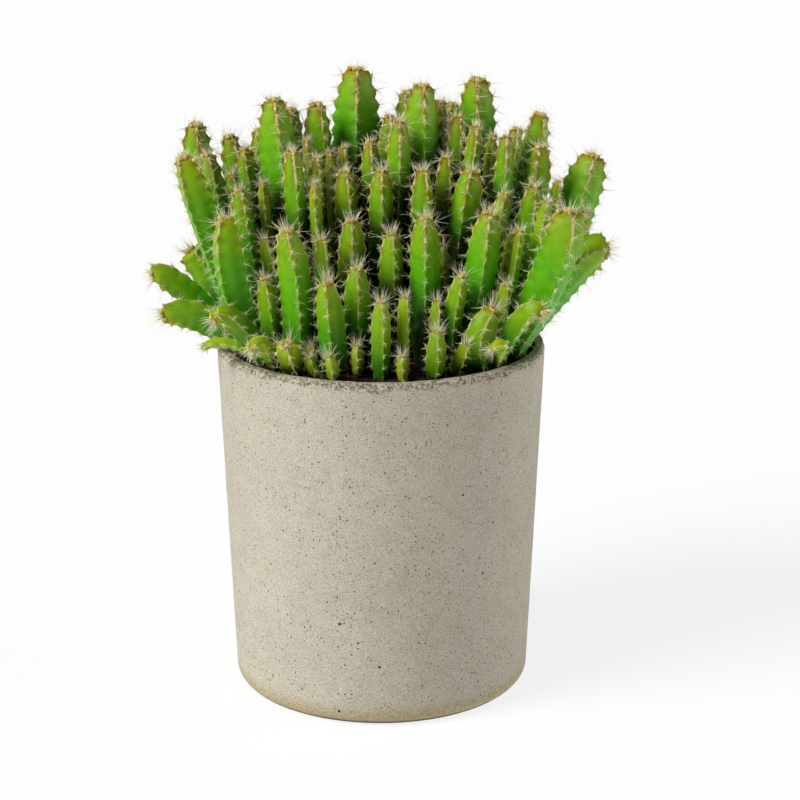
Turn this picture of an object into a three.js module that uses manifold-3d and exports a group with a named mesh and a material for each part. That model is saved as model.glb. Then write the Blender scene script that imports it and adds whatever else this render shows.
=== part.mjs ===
// A columnar cactus in a round concrete pot, in millimetres, with +Z up.
// The frame starts at the centre of the pot's flat base, and the front looks along -Y.
import * as THREE from 'three';
import { mergeVertices } from 'three/addons/utils/BufferGeometryUtils.js';
import Module from 'manifold-3d';

const wasm = await Module();
wasm.setup();

// The pot
const POT_HEIGHT = 141;
const POT_TOP_RADIUS = 65;
const POT_BASE_RADIUS = 59.3;
const WALL = 4.2;
const FLOOR = 10;
const BASE_FILLET = 6;
const LIP_ROUND = 2;
const INNER_LIP_ROUND = 1;
const POT_SIDES = 38;

// The soil
const SOIL_TOP = 138;
const CLEARANCE = 0.3;
const HOLE_DEPTH = 8;

// The roots: a plain neck for each plant, in a plain hole
const ROOT_BOTTOM = SOIL_TOP - HOLE_DEPTH + CLEARANCE;
const ROOT_SIDES = 5;
const ROOT_LARGEST = 3.2;
const ROOT_SHARE = 0.22;
const ROOT_EXTRA = 0.5;
const NECK_RISE = 1.5;
const GROUND_SIDE = 400;

// How the stems stand: where they bend, and how far they lean
const STEM_START = 134;
const STRAIGHT_REACH = 45;
const LEAN_SHARE = 0.33;
const WALL_ROOM = 3.5;
const BEND_SHARE = 0.65;
const BEND_HEIGHT = 0.42;
const ELBOW_SHARE = 0.3;
const CURVE_STEPS = 16;

// The girth of a stem, as shares of its full width, over shares of its length or its radius
const FOOT_SHARE = 0.45;
const FOOT_ZONE = 0.45;
const CROWN_SHARE = 0.46;
const CROWN_LENGTH = 2.2;
const VALLEY = { 3: 0.64, 4: 0.76, 5: 0.83 };
const BELLY = 0.42;
const SHOULDER = 1.9;
const RIM_DROP = 0.35;
const RIM_VALLEY = 0.8;
const CENTRE_DROP = 0.1;

// The crests and notches of the ribs
const CREST_STEP = 8;
const CREST_ZONE = 35;
const CREST_DROP = 0.25;
const HIDDEN_SHARE = 0.42;
const PLAIN_FOOT = 6;
const NOTCH_DEPTH = 0.16;
const LOW_NOTCH = 0.5;
const LOW_TIP = 170;
const HIGH_TIP = 230;
const NOTCH_PLACE = 0.32;
const SMALL_RADIUS = 3.3;
const SMALL_CRESTS = 2;

// The spines
const CROWN_SPINE = 8;
const TUFT_SHARE = 0.8;
const TUFT_SPREAD = 0.6;
const TUFT_RADIUS = 5.1;
const RIB_SPINE = 3.6;
const RIB_SPINE_RISE = 0.3;
const RIB_SPINE_EVERY = 7;
const SPINE_WIDTH = 0.5;
const SPINE_GAP = 0.8;
const SHORTER = 0.6;
const STEM_PROBES = [0.2, 0.6, 1];
const SPINE_PROBES = [0, 0.25, 0.5, 0.75, 1];

// Settling: stems that would touch are pushed apart a little at a time
const PASSES = 200;
const SAMPLES = 18;
const FIRST_SAMPLE = 0.7;
const NEARBY = 30;
const SMALLEST = 0.001;
const STEM_GAP = 1;
const PUSH = 0.06;
const INWARD_PUSH = 0.5 * PUSH;
const LIFT_PUSH = 4 * PUSH;
const ARCH_MOST = 7;
const RIM_GAP = 1.5;
const HOLD = 0.03;
const HOLD_FADE = 1.4;
const BEND_HOLD = 4;
const ROOT_GIVE = 0.4;
const TIP_SIDEWAYS = 0.35;
const FORK_FROM = 0.12;
const FORK_LENGTH = 0.2;

// Each plant is a list of its stems: tip x, y and z, width across the ribs, number of ribs, turn
// of the first rib from the front in degrees, and for a stem with an elbow the height of that and
// how much of the way out to its tip it is by then.
const FRONT = {
  stem_front_01: [[-21, -47, 175, 11, 4, -8], [-20, -50, 149, 6, 3, 0], [-28, -46, 147, 6, 3, 20]],
  stem_front_02: [[-37, -38, 193, 12.5, 4, 9], [-36, -43, 152, 10, 5, 10], [-31, -44, 149, 6, 3, 20]],
  stem_front_03: [[-9, -36, 178, 10.5, 4, 6], [-9, -44, 151, 6, 3, 0]],
  stem_front_04: [[0, -47, 168, 8, 4, 15]],
  stem_front_05: [[9, -40, 168, 6, 3, 30], [8, -50, 148, 6, 3, 0]],
  stem_front_06: [[21, -47, 157, 8, 4, 10], [22, -36, 166, 5, 3, 35]],
  stem_front_07: [[17, -29, 196, 12, 4, 0]],
  stem_front_08: [[32, -37, 175, 8, 4, 12], [33, -45, 152, 6, 3, 30]],
  stem_front_09: [[48, -38, 163, 13, 5, 5], [60, -40, 163, 10, 4, 25, 150, 0.4], [55, -27, 171, 7, 3, 20],
    [40, -44, 150, 5, 3, 0]],
  stem_front_10: [[-22, -26, 188, 8, 4, 40], [-12, -21, 193, 11, 4, 4], [-29, -18, 182, 7, 3, 30]],
  stem_front_11: [[4, -24, 189, 10, 4, 15]],
  stem_left_01: [[-59, -27, 196, 14.5, 4, -30, 156, 1.35], [-79, -19, 156, 14, 3, 60, 161, 0.15]],
  stem_left_02: [[-45, -36, 174, 8, 4, 15], [-61, -42, 161, 10, 5, 20, 150, 0.4],
    [-50, -46, 151, 7, 5, 0, 146, 0.5], [-66, -31, 147, 5, 3, 0, 158, 0.4]],
  stem_left_03: [[-77.5, -6, 216, 15, 4, -32], [-83, -3, 168, 12, 3, 60, 168, 0.3],
    [-72, 9, 174, 12, 4, 30, 165, 0.3]],
  stem_left_04: [[-66, 3, 214, 10.5, 4, 20], [-54, 8, 216, 9, 4, 0]],
  stem_right_01: [[42, -21, 197, 13, 4, 5], [49, -17, 187, 6, 3, 0], [25, -18, 183, 7, 3, 10]],
  stem_right_02: [[67, -29, 200, 17.5, 4, 18, 158, 0.5], [56, -22, 190, 6, 3, 0]],
  stem_right_03: [[84, -8, 180, 17.5, 3, -12, 152, 0.35], [77, -4, 193, 7, 4, 10]],
  stem_right_04: [[82, 10, 212, 17, 4, 2, 165, 0.4], [68, -9, 206, 6, 3, 30]],
  stem_middle_01: [[-15, -8, 210, 10, 4, 20], [-25, -11, 207, 6, 3, 0]],
  stem_middle_02: [[1, -8, 211, 10, 4, 5]],
  stem_middle_03: [[16, -11, 211, 10.5, 4, 30]],
  stem_middle_04: [[37, -8, 210, 13, 4, -12]],
  stem_middle_05: [[26, 2, 214, 9, 4, 35]],
  stem_middle_06: [[-35, -9, 219, 9, 4, 15], [-44, -9, 206, 6, 3, 0]],
  stem_middle_07: [[-54, -11, 204, 10, 4, 25], [-60, -3, 208, 8, 3, 10], [-46, -20, 187, 6, 3, 40]],
  stem_middle_08: [[58, -10, 205, 10, 4, 20], [51, -9, 202, 8, 4, 0], [63, -14, 200, 7, 3, 0]],
  stem_middle_09: [[61, 2, 217, 11, 4, -20], [53, 10, 223, 9, 4, 20]],
  stem_middle_10: [[48, 1, 222, 8, 4, 10], [45, 12, 221, 6, 3, 0]],
  stem_middle_11: [[-29, 4, 221, 6, 3, 0], [-26, -2, 215, 7, 4, 30]],
  stem_middle_12: [[-20, 3, 216, 6, 3, 0], [-14, 6, 217, 6, 3, 25], [-5, 3, 220, 8, 4, 10]],
  stem_back_01: [[-9, 16, 245, 19, 4, 2], [-1, 26, 222, 8, 4, 30]],
  stem_back_02: [[-23.5, 9, 233, 13, 4, 30], [-33, 20, 229, 10, 4, 0]],
  stem_back_03: [[-41, 6, 236, 15.5, 4, 10], [-49, 13, 222, 9, 3, 20]],
  stem_back_04: [[-70.5, 14, 223, 12.5, 4, 15], [-60, 19, 219, 12, 4, 35]],
  stem_back_05: [[3, 14, 228, 8, 4, 20], [8, 5, 228, 10, 4, 5]],
  stem_back_06: [[16, 15, 240, 16, 4, 12], [10, 25, 235, 9, 4, 0]],
  stem_back_07: [[25, 24, 232, 9, 3, 20], [30, 11, 228, 9, 4, 30]],
  stem_back_08: [[37, 17, 241, 15.5, 4, 0], [39, 8, 226, 7, 4, 15]],
  stem_back_09: [[62, 15, 227, 13.5, 4, 30]],
};

// Where the foot of a plant is in sight, or its place keeps its neighbours apart
const FEET = {
  stem_front_02: [-34, -35],
  stem_front_08: [31, -33],
  stem_front_09: [45, -29],
  stem_left_01: [-48, -19],
  stem_left_02: [-43, -31],
  stem_left_03: [-51, -3],
  stem_left_04: [-43, 9],
  stem_right_01: [34, -19],
  stem_right_02: [45, -18],
  stem_right_03: [47, -5],
  stem_right_04: [46, 8],
  stem_middle_07: [-38, -11],
  stem_middle_08: [40, -9],
  stem_middle_09: [41, 3],
  stem_middle_10: [33, 5],
  stem_back_03: [-36, 9],
  stem_back_04: [-49, 12],
  stem_back_09: [41, 17],
};

// The far side of the clump: rings of stems that lean out over the rim, a little uneven
const FAR_RINGS = [
  { reach: 75, height: 176, width: 12.5, elbow: 158 },
  { reach: 56, height: 208, width: 13 },
];
const FAR_LOW = { count: 5, reach: 54, height: 166, width: 10, from: 38, to: 134 };
const FAR_COUNT = 7;
const FAR_FROM = 20;
const FAR_TO = 152;
const INNER_FAR = { count: 5, reach: 36, height: 223, width: 12, from: 40, to: 144 };
const RING_TURN = 9;
const RING_SHIFT = 4;
const REACH_SPREAD = 4;
const HEIGHT_SPREAD = 9;
const WIDTH_SPREAD = 1.5;
const FIVE_RIBS_EVERY = 7;
const SINGLE_NUMBERS = 40;

const GOLDEN = 0.618034;
const MERGE_REACH = 1e-5;
const radians = (degrees) => degrees * Math.PI / 180;
const vary = (n) => (n * GOLDEN) % 1;
const between = (low, high, share) => low + (high - low) * share;
const outerRadius = (z) => between(POT_BASE_RADIUS, POT_TOP_RADIUS, z / POT_HEIGHT);
const innerRadius = (z) => outerRadius(z) - WALL;

// One stem of the far side, at an angle that runs from +X towards +Y
function farStem(angle, ring, number) {
  const reach = ring.reach + between(-REACH_SPREAD, REACH_SPREAD, vary(number * 3 + 1));
  const x = Math.round(reach * Math.cos(radians(angle)));
  const y = Math.round(reach * Math.sin(radians(angle)));
  const rise = between(-HEIGHT_SPREAD, HEIGHT_SPREAD, vary(number * 5 + 2));
  const height = ring.height + Math.round(rise);
  const width = ring.width + between(-WIDTH_SPREAD, WIDTH_SPREAD, vary(number * 7 + 3));
  const ribs = number % FIVE_RIBS_EVERY === 3 ? 5 : 4;
  return [x, y, height, width, ribs, 90 * vary(number), ring.elbow];
}

function farPlants() {
  const plants = {};
  for (let k = 0; k < FAR_COUNT; k += 1) {
    const angle = between(FAR_FROM, FAR_TO, k / (FAR_COUNT - 1));
    plants[`stem_far_0${k + 1}`] = FAR_RINGS.map((ring, j) => (
      farStem(angle + RING_TURN * j - RING_SHIFT, ring, 2 * k + j + 1)));
  }
  for (const [label, ring] of Object.entries({ inner: INNER_FAR, low: FAR_LOW })) {
    for (let k = 0; k < ring.count; k += 1) {
      const angle = between(ring.from, ring.to, k / (ring.count - 1));
      plants[`stem_${label}_0${k + 1}`] = [farStem(angle, ring, SINGLE_NUMBERS + k)];
    }
  }
  return plants;
}

// A plant stands where its stems' tips are, drawn in towards the pot where they lean out
function layOut(name, rows) {
  const weight = rows.reduce((sum, row) => sum + row[3] ** 2, 0);
  const meanX = rows.reduce((sum, row) => sum + row[0] * row[3] ** 2, 0) / weight;
  const meanY = rows.reduce((sum, row) => sum + row[1] * row[3] ** 2, 0) / weight;
  const reach = Math.hypot(meanX, meanY);
  const lean = Math.max(0, reach - STRAIGHT_REACH);
  const widest = Math.max(...rows.map((row) => row[3]));
  const limit = innerRadius(SOIL_TOP) - WALL_ROOM - FOOT_SHARE * widest / 2;
  const drawn = Math.min(limit, reach - lean * (1 - LEAN_SHARE)) / reach;
  const [x0, y0] = FEET[name] || [meanX * drawn, meanY * drawn];
  const base = { x: x0, y: y0 };
  const stems = rows.map(([x, y, z, width, ribs, turn, elbow, out = ELBOW_SHARE]) => {
    const share = elbow ? out : BEND_SHARE;
    return {
      tip: { x, y, z },
      home: { x, y, share },
      bend: { x: between(base.x, x, share), y: between(base.y, y, share) },
      bendHeight: elbow || between(STEM_START, z, BEND_HEIGHT),
      radius: width / 2,
      ribs,
      turn: radians(turn),
    };
  });
  const rootRadius = Math.min(ROOT_LARGEST, ROOT_SHARE * widest + ROOT_EXTRA);
  return { name, base, home: { ...base }, limit, stems, rootRadius };
}

// A point of the stem's centre line, a quadratic curve from its root over its bend to its tip
function along(plant, stem, t) {
  const a = (1 - t) * (1 - t);
  const b = 2 * t * (1 - t);
  const c = t * t;
  return [
    a * plant.base.x + b * stem.bend.x + c * stem.tip.x,
    a * plant.base.y + b * stem.bend.y + c * stem.tip.y,
    a * STEM_START + b * stem.bendHeight + c * stem.tip.z,
  ];
}

// The share of the full width at a share of the length: narrow at the foot and at the crown
function girth(t, slimness) {
  const foot = Math.min(1, t / FOOT_ZONE);
  const rise = FOOT_SHARE + (1 - FOOT_SHARE) * Math.sin(foot * Math.PI / 2);
  const crown = Math.max(0, 1 - (1 - t) / (CROWN_LENGTH * slimness));
  return rise * Math.sqrt(1 - (1 - CROWN_SHARE ** 2) * crown * crown);
}

// A stem near the wall moves in from it, and one that leans out over the rim is lifted clear
function clearRim({ plant, stem, t, radius, x, y, z }) {
  const reach = Math.hypot(x, y);
  const aside = Math.max(0, innerRadius(POT_HEIGHT) - reach);
  const above = Math.max(0, z - POT_HEIGHT);
  const over = radius + RIM_GAP - Math.hypot(aside, above);
  if (over <= 0) return;
  plant.base.x -= INWARD_PUSH * (1 - t) * over * x / reach;
  plant.base.y -= INWARD_PUSH * (1 - t) * over * y / reach;
  stem.bendHeight += LIFT_PUSH * t * over;
  stem.bendHeight = Math.min(stem.bendHeight, stem.tip.z + ARCH_MOST);
}

// A bead goes where its stem's curve is now
function follow(bead) {
  [bead.x, bead.y, bead.z] = along(bead.plant, bead.stem, bead.t);
  bead.moveX = 0;
  bead.moveY = 0;
}

function pushApart(a, b, need) {
  const dx = b.x - a.x;
  const dy = b.y - a.y;
  const dz = b.z - a.z;
  const distance = Math.sqrt(dx * dx + dy * dy + dz * dz);
  if (distance >= need) return;
  const push = PUSH * (need - distance) / (Math.sqrt(dx * dx + dy * dy) + SMALLEST);
  a.moveX -= push * dx;
  a.moveY -= push * dy;
  b.moveX += push * dx;
  b.moveY += push * dy;
}

// Beads along every stem show where two stems are too close
function settle(plants) {
  const beads = [];
  plants.forEach((plant) => plant.stems.forEach((stem) => {
    const length = Math.hypot(
      stem.tip.x - plant.base.x, stem.tip.y - plant.base.y, stem.tip.z - STEM_START);
    for (let j = 0; j < SAMPLES; j += 1) {
      const t = (j + FIRST_SAMPLE) / SAMPLES;
      const radius = stem.radius * girth(t, stem.radius / length);
      beads.push({ plant, stem, t, radius });
    }
  }));
  beads.forEach(follow);
  const pairs = [];
  beads.forEach((a, i) => beads.slice(i + 1).forEach((b) => {
    if (a.stem === b.stem || Math.hypot(b.x - a.x, b.y - a.y, b.z - a.z) > NEARBY) return;
    const apart = Math.min(1, Math.max(0, (Math.min(a.t, b.t) - FORK_FROM) / FORK_LENGTH));
    const need = (a.radius + b.radius + STEM_GAP) * (a.plant === b.plant ? apart : 1);
    pairs.push([a, b, need]);
  }));
  for (let pass = 0; pass < PASSES; pass += 1) {
    beads.forEach(follow);
    pairs.forEach(([a, b, need]) => pushApart(a, b, need));
    for (const { plant, stem, t, moveX, moveY } of beads) {
      const root = (1 - t) * (1 - t);
      const bend = 2 * t * (1 - t);
      const tip = t * t;
      plant.base.x += root * moveX * ROOT_GIVE;
      plant.base.y += root * moveY * ROOT_GIVE;
      stem.bend.x += bend * moveX;
      stem.bend.y += bend * moveY;
      stem.tip.x += tip * moveX * TIP_SIDEWAYS;
      stem.tip.y += tip * moveY;
    }
    beads.forEach(clearRim);
    const hold = HOLD * Math.max(0, 1 - HOLD_FADE * pass / PASSES);
    for (const plant of plants) {
      plant.base.x += hold * (plant.home.x - plant.base.x);
      plant.base.y += hold * (plant.home.y - plant.base.y);
      const inward = Math.min(1, plant.limit / Math.hypot(plant.base.x, plant.base.y));
      plant.base.x *= inward;
      plant.base.y *= inward;
      for (const stem of plant.stems) {
        stem.tip.x += hold * (stem.home.x - stem.tip.x);
        stem.tip.y += hold * (stem.home.y - stem.tip.y);
        const { share } = stem.home;
        const pull = BEND_HOLD * hold;
        stem.bend.x += pull * (between(plant.base.x, stem.tip.x, share) - stem.bend.x);
        stem.bend.y += pull * (between(plant.base.y, stem.tip.y, share) - stem.bend.y);
      }
    }
  }
}

// A closed three.js geometry as a solid, and back
function toSolid(geometry) {
  geometry.deleteAttribute('normal');
  geometry.deleteAttribute('uv');
  const merged = mergeVertices(geometry, MERGE_REACH);
  const vertProperties = new Float32Array(merged.attributes.position.array);
  const triVerts = new Uint32Array(merged.index.array);
  return new wasm.Manifold(new wasm.Mesh({ numProp: 3, vertProperties, triVerts }));
}

function toGeometry(solid) {
  const mesh = solid.getMesh();
  const geometry = new THREE.BufferGeometry();
  geometry.setAttribute('position', new THREE.BufferAttribute(mesh.vertProperties, mesh.numProp));
  geometry.setIndex(new THREE.BufferAttribute(mesh.triVerts, 1));
  return geometry;
}

function addNode(name, solid, material) {
  const mesh = new THREE.Mesh(toGeometry(solid), material);
  mesh.name = name;
  object.add(mesh);
}

// The centre line with its length, so that places on it can be given in millimetres
function measure(plant, stem) {
  const points = [];
  for (let j = 0; j <= CURVE_STEPS; j += 1) {
    points.push(new THREE.Vector3(...along(plant, stem, j / CURVE_STEPS)));
  }
  const reach = [0];
  for (let j = 1; j <= CURVE_STEPS; j += 1) {
    reach.push(reach[j - 1] + points[j].distanceTo(points[j - 1]));
  }
  const length = reach[CURVE_STEPS];
  const share = (height) => {
    const j = Math.min(CURVE_STEPS - 1, Math.max(0, reach.findIndex((r) => r > height) - 1));
    const k = height >= length ? CURVE_STEPS - 1 : j;
    return (k + (height - reach[k]) / (reach[k + 1] - reach[k])) / CURVE_STEPS;
  };
  return { points, length, share };
}

// The frame across the stem: towards the front, and to the right of it
function frameAt(plant, stem, t) {
  const step = 0.01;
  const centre = new THREE.Vector3(...along(plant, stem, t));
  const ahead = new THREE.Vector3(...along(plant, stem, t + step));
  const up = ahead.sub(centre).normalize();
  const front = new THREE.Vector3(0, -1, 0);
  front.addScaledVector(up, -front.dot(up)).normalize();
  const side = new THREE.Vector3().crossVectors(up, front);
  return { centre, up, front, side };
}

// Two lines of points side by side, each [height, vertex], joined by triangles that face outward
function stitch(left, right, triangles) {
  let i = 0;
  let j = 0;
  while (i < left.length - 1 || j < right.length - 1) {
    const climbLeft = j === right.length - 1
      || (i < left.length - 1 && left[i + 1][0] < right[j + 1][0]);
    if (climbLeft) {
      triangles.push([left[i][1], right[j][1], left[i + 1][1]]);
      i += 1;
    } else {
      triangles.push([left[i][1], right[j][1], right[j + 1][1]]);
      j += 1;
    }
  }
}

// Heights of the crests on a rib, from the crown down. An inner stem has them near its top only
function crestHeights(length, radius, inView) {
  const top = length - CREST_DROP * radius;
  const zone = between(HIDDEN_SHARE, 1, inView) * CREST_ZONE / CREST_STEP;
  const wanted = Math.floor(radius < SMALL_RADIUS ? SMALL_CRESTS : zone);
  const room = Math.floor((length - PLAIN_FOOT) / CREST_STEP);
  const count = Math.max(1, Math.min(wanted, room));
  return Array.from({ length: count }, (_, k) => top - k * CREST_STEP);
}

// A ribbed stem: a line of crests and notches on each rib, and a plain line in each valley
function stemBody(plant, stem) {
  const { length, share } = measure(plant, stem);
  const slimness = stem.radius / length;
  const vertices = [];
  const triangles = [];
  const place = (height, angle, scale) => {
    const t = share(height);
    const { centre, front, side } = frameAt(plant, stem, t);
    const reach = stem.radius * girth(Math.min(1, t), slimness) * scale;
    centre.addScaledVector(front, reach * Math.cos(angle));
    centre.addScaledVector(side, reach * Math.sin(angle));
    return [height, vertices.push(centre) - 1];
  };
  const inView = Math.min(1, Math.hypot(stem.tip.x, stem.tip.y) / POT_TOP_RADIUS);
  const crests = crestHeights(length, stem.radius, inView);
  const highness = Math.min(1, Math.max(0, (stem.tip.z - LOW_TIP) / (HIGH_TIP - LOW_TIP)));
  const notch = NOTCH_DEPTH * between(LOW_NOTCH, 1, highness);
  const belly = BELLY * length;
  const lowest = crests[crests.length - 1];
  const ridgeStops = [[0, 1]];
  if (lowest - CREST_STEP > belly) ridgeStops.push([belly, 1]);
  crests.toReversed().forEach((height) => {
    ridgeStops.push([height - NOTCH_PLACE * CREST_STEP, 1 - notch]);
    ridgeStops.push([height, 1]);
  });
  const shoulder = length - SHOULDER * stem.radius;
  const rim = length - RIM_DROP * stem.radius;
  const valleyStops = [[0, 1], [belly, 1], [shoulder, 1], [rim, RIM_VALLEY]];
  const lines = [];
  for (let rib = 0; rib < stem.ribs; rib += 1) {
    const angle = stem.turn + 2 * Math.PI * rib / stem.ribs;
    const valley = angle + Math.PI / stem.ribs;
    lines.push(ridgeStops.map(([height, scale]) => place(height, angle, scale)));
    lines.push(valleyStops.map(([height, scale]) => place(height, valley, VALLEY[stem.ribs] * scale)));
  }
  const around = lines.length;
  const crown = place(length - CENTRE_DROP * stem.radius, 0, 0)[1];
  for (let k = 0; k < around; k += 1) {
    const left = lines[k];
    const right = lines[(k + 1) % around];
    stitch(left, right, triangles);
    triangles.push([left[left.length - 1][1], right[right.length - 1][1], crown]);
    if (k > 0 && k < around - 1) triangles.push([lines[0][0][1], right[0][1], left[0][1]]);
  }
  return { plant, stem, length, vertices, triangles, lines, crown, crests };
}

// A three-sided spine grows out of a vertex, whose neighbours keep their places
function sprout(body, vertex, direction, length) {
  const { vertices, triangles } = body;
  const fan = triangles.filter((triangle) => triangle.includes(vertex));
  const next = new Map(fan.map((triangle) => {
    const k = triangle.indexOf(vertex);
    return [triangle[(k + 1) % 3], triangle[(k + 2) % 3]];
  }));
  const ring = [next.keys().next().value];
  while (ring.length < fan.length) ring.push(next.get(ring[ring.length - 1]));
  const foot = vertices[vertex].clone();
  const starts = [0, 1, 2, 3].map((k) => Math.floor(k * ring.length / 3));
  const corners = [0, 1, 2].map((k) => {
    const corner = vertices[ring[starts[k]]].clone().sub(foot).setLength(SPINE_WIDTH);
    return vertices.push(corner.add(foot)) - 1;
  });
  const kept = triangles.filter((triangle) => !triangle.includes(vertex));
  for (let k = 0; k < 3; k += 1) {
    const corner = corners[k];
    const following = corners[(k + 1) % 3];
    for (let m = starts[k]; m < starts[k + 1]; m += 1) {
      kept.push([corner, ring[m], ring[(m + 1) % ring.length]]);
    }
    kept.push([corner, ring[starts[k + 1] % ring.length], following]);
    kept.push([corner, following, vertex]);
  }
  vertices[vertex].addScaledVector(direction, length);
  body.triangles = kept;
}

// Whether a spine stays clear of every other stem and of the spines already placed
function isClear(body, start, end) {
  const line = new THREE.Line3();
  const near = new THREE.Vector3();
  const probe = new THREE.Vector3();
  for (const other of centreLines) {
    if (other.stem === body.stem) continue;
    for (let j = 0; j < CURVE_STEPS; j += 1) {
      line.set(other.points[j], other.points[j + 1]);
      const reach = other.stem.radius * girth((j + 0.5) / CURVE_STEPS, other.slimness) + SPINE_GAP;
      for (const part of STEM_PROBES) {
        probe.lerpVectors(start, end, part);
        line.closestPointToPoint(probe, true, near);
        if (near.distanceTo(probe) < reach) return false;
      }
    }
  }
  for (const [from, to] of spines) {
    line.set(from, to);
    for (const part of SPINE_PROBES) {
      probe.lerpVectors(start, end, part);
      line.closestPointToPoint(probe, true, near);
      if (near.distanceTo(probe) < SPINE_GAP) return false;
    }
  }
  const inside = Math.hypot(end.x, end.y) < innerRadius(POT_HEIGHT) - SPINE_GAP;
  return end.z > (inside ? SOIL_TOP : POT_HEIGHT) + SPINE_GAP;
}

function growSpine(body, vertex, direction, length) {
  const start = body.vertices[vertex].clone();
  direction.normalize();
  for (const reach of [length, SHORTER * length]) {
    const end = start.clone().addScaledVector(direction, reach);
    if (isClear(body, start, end)) {
      sprout(body, vertex, direction, reach);
      spines.push([start, end]);
      return;
    }
  }
}

// A tuft on the crown, and here and there a spine on a crest of each rib
function growSpines(body, number) {
  const { plant, stem, length, lines, crown, crests } = body;
  const { centre, up } = frameAt(plant, stem, 1);
  growSpine(body, crown, up.clone(), CROWN_SPINE);
  for (let rib = 0; rib < stem.ribs; rib += 1) {
    const line = lines[2 * rib];
    for (let k = 0; k < crests.length; k += 1) {
      const vertex = line[line.length - 1 - 2 * k][1];
      const at = frameAt(plant, stem, 1 - k * CREST_STEP / length);
      const out = body.vertices[vertex].clone().sub(k === 0 ? centre : at.centre).normalize();
      out.addScaledVector(up, -out.dot(up)).normalize();
      if (k === 0 && (stem.radius > TUFT_RADIUS || rib % 2 === 0)) {
        growSpine(body, vertex, out.multiplyScalar(TUFT_SPREAD).add(up), TUFT_SHARE * CROWN_SPINE);
      } else if (k > 0 && (rib + 2 * k + number) % RIB_SPINE_EVERY === 0) {
        growSpine(body, vertex, out.addScaledVector(up, RIB_SPINE_RISE), RIB_SPINE);
      }
    }
  }
}

function bodySolid(body) {
  const geometry = new THREE.BufferGeometry();
  geometry.setAttribute('position', new THREE.Float32BufferAttribute(
    body.vertices.flatMap((vertex) => vertex.toArray()), 3));
  geometry.setIndex(body.triangles.flat());
  return toSolid(geometry);
}

// The neck of a plant, or the hole that it stands in
function rootSolid(plant, radius, bottom, top) {
  const geometry = new THREE.CylinderGeometry(radius, radius, top - bottom, ROOT_SIDES);
  geometry.rotateX(Math.PI / 2);
  geometry.translate(plant.base.x, plant.base.y, (top + bottom) / 2);
  return toSolid(geometry);
}

// A profile of [radius, height] points, turned about the pot's axis
function turned(profile) {
  const points = profile.map(([radius, height]) => new THREE.Vector2(radius, height));
  const geometry = new THREE.LatheGeometry(points, POT_SIDES);
  geometry.rotateX(Math.PI / 2);
  return toSolid(geometry);
}

// Points of a quarter round about a centre, from one angle to another
function arc(centreRadius, centreHeight, radius, from, to, steps) {
  return Array.from({ length: steps + 1 }, (_, k) => {
    const angle = radians(between(from, to, k / steps));
    return [centreRadius + radius * Math.cos(angle), centreHeight + radius * Math.sin(angle)];
  });
}

function potSolid() {
  const lipHeight = POT_HEIGHT - LIP_ROUND;
  const innerLip = POT_HEIGHT - INNER_LIP_ROUND;
  return turned([
    [0, 0],
    ...arc(outerRadius(BASE_FILLET) - BASE_FILLET, BASE_FILLET, BASE_FILLET, -90, 0, 3),
    ...arc(outerRadius(lipHeight) - LIP_ROUND, lipHeight, LIP_ROUND, 0, 90, 2),
    ...arc(innerRadius(lipHeight) + INNER_LIP_ROUND, innerLip, INNER_LIP_ROUND, 90, 180, 1),
    [innerRadius(FLOOR), FLOOR],
    [0, FLOOR],
  ]);
}

function soilSolid() {
  const bottom = FLOOR + CLEARANCE;
  let soil = turned([
    [0, bottom],
    [innerRadius(bottom) - CLEARANCE, bottom],
    [innerRadius(SOIL_TOP) - CLEARANCE, SOIL_TOP],
    [0, SOIL_TOP],
  ]);
  for (const plant of plants) {
    const radius = plant.rootRadius + CLEARANCE;
    soil = soil.subtract(rootSolid(plant, radius, SOIL_TOP - HOLE_DEPTH, SOIL_TOP + 1));
  }
  return soil;
}

function plantSolid(plant, bodies) {
  const below = new THREE.BoxGeometry(GROUND_SIDE, GROUND_SIDE, 2 * SOIL_TOP);
  below.translate(0, 0, CLEARANCE);
  const ground = toSolid(below);
  let solid = bodySolid(bodies[0]);
  for (const body of bodies.slice(1)) solid = solid.add(bodySolid(body));
  const neck = rootSolid(plant, plant.rootRadius, ROOT_BOTTOM, SOIL_TOP + NECK_RISE);
  const pieces = solid.subtract(ground).add(neck).decompose();
  return pieces.reduce((largest, piece) => (piece.volume() > largest.volume() ? piece : largest));
}

const concrete = new THREE.MeshStandardMaterial({ color: 0xbdb7a8, roughness: 0.9, metalness: 0 });
const earth = new THREE.MeshStandardMaterial({ color: 0x2f1f15, roughness: 1, metalness: 0 });
const skin = new THREE.MeshStandardMaterial({ color: 0x5d9c22, roughness: 0.6, metalness: 0 });

const rows = { ...FRONT, ...farPlants() };
const plants = Object.entries(rows).map(([name, list]) => layOut(name, list));
settle(plants);
const centreLines = plants.flatMap((plant) => plant.stems.map((stem) => {
  const { points, length } = measure(plant, stem);
  return { stem, points, slimness: stem.radius / length };
}));
const spines = [];
const object = new THREE.Group();

addNode('pot', potSolid(), concrete);
addNode('soil', soilSolid(), earth);
plants.forEach((plant, p) => {
  const bodies = plant.stems.map((stem) => stemBody(plant, stem));
  bodies.forEach((body, k) => growSpines(body, p + k));
  addNode(plant.name, plantSolid(plant, bodies), skin);
});

export default object;
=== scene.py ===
# %% [markdown]
# # A potted columnar cactus
# This lesson dresses a plain faceted model of a cactus clump in a concrete pot. The model is
# loaded as a fixed frame: it says where each piece is and how large it may be. Every piece made
# here takes the place of one of its parts, in the same spot and inside the same box.
# Lengths are written in millimetres and become metres when a mesh is made.

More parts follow.
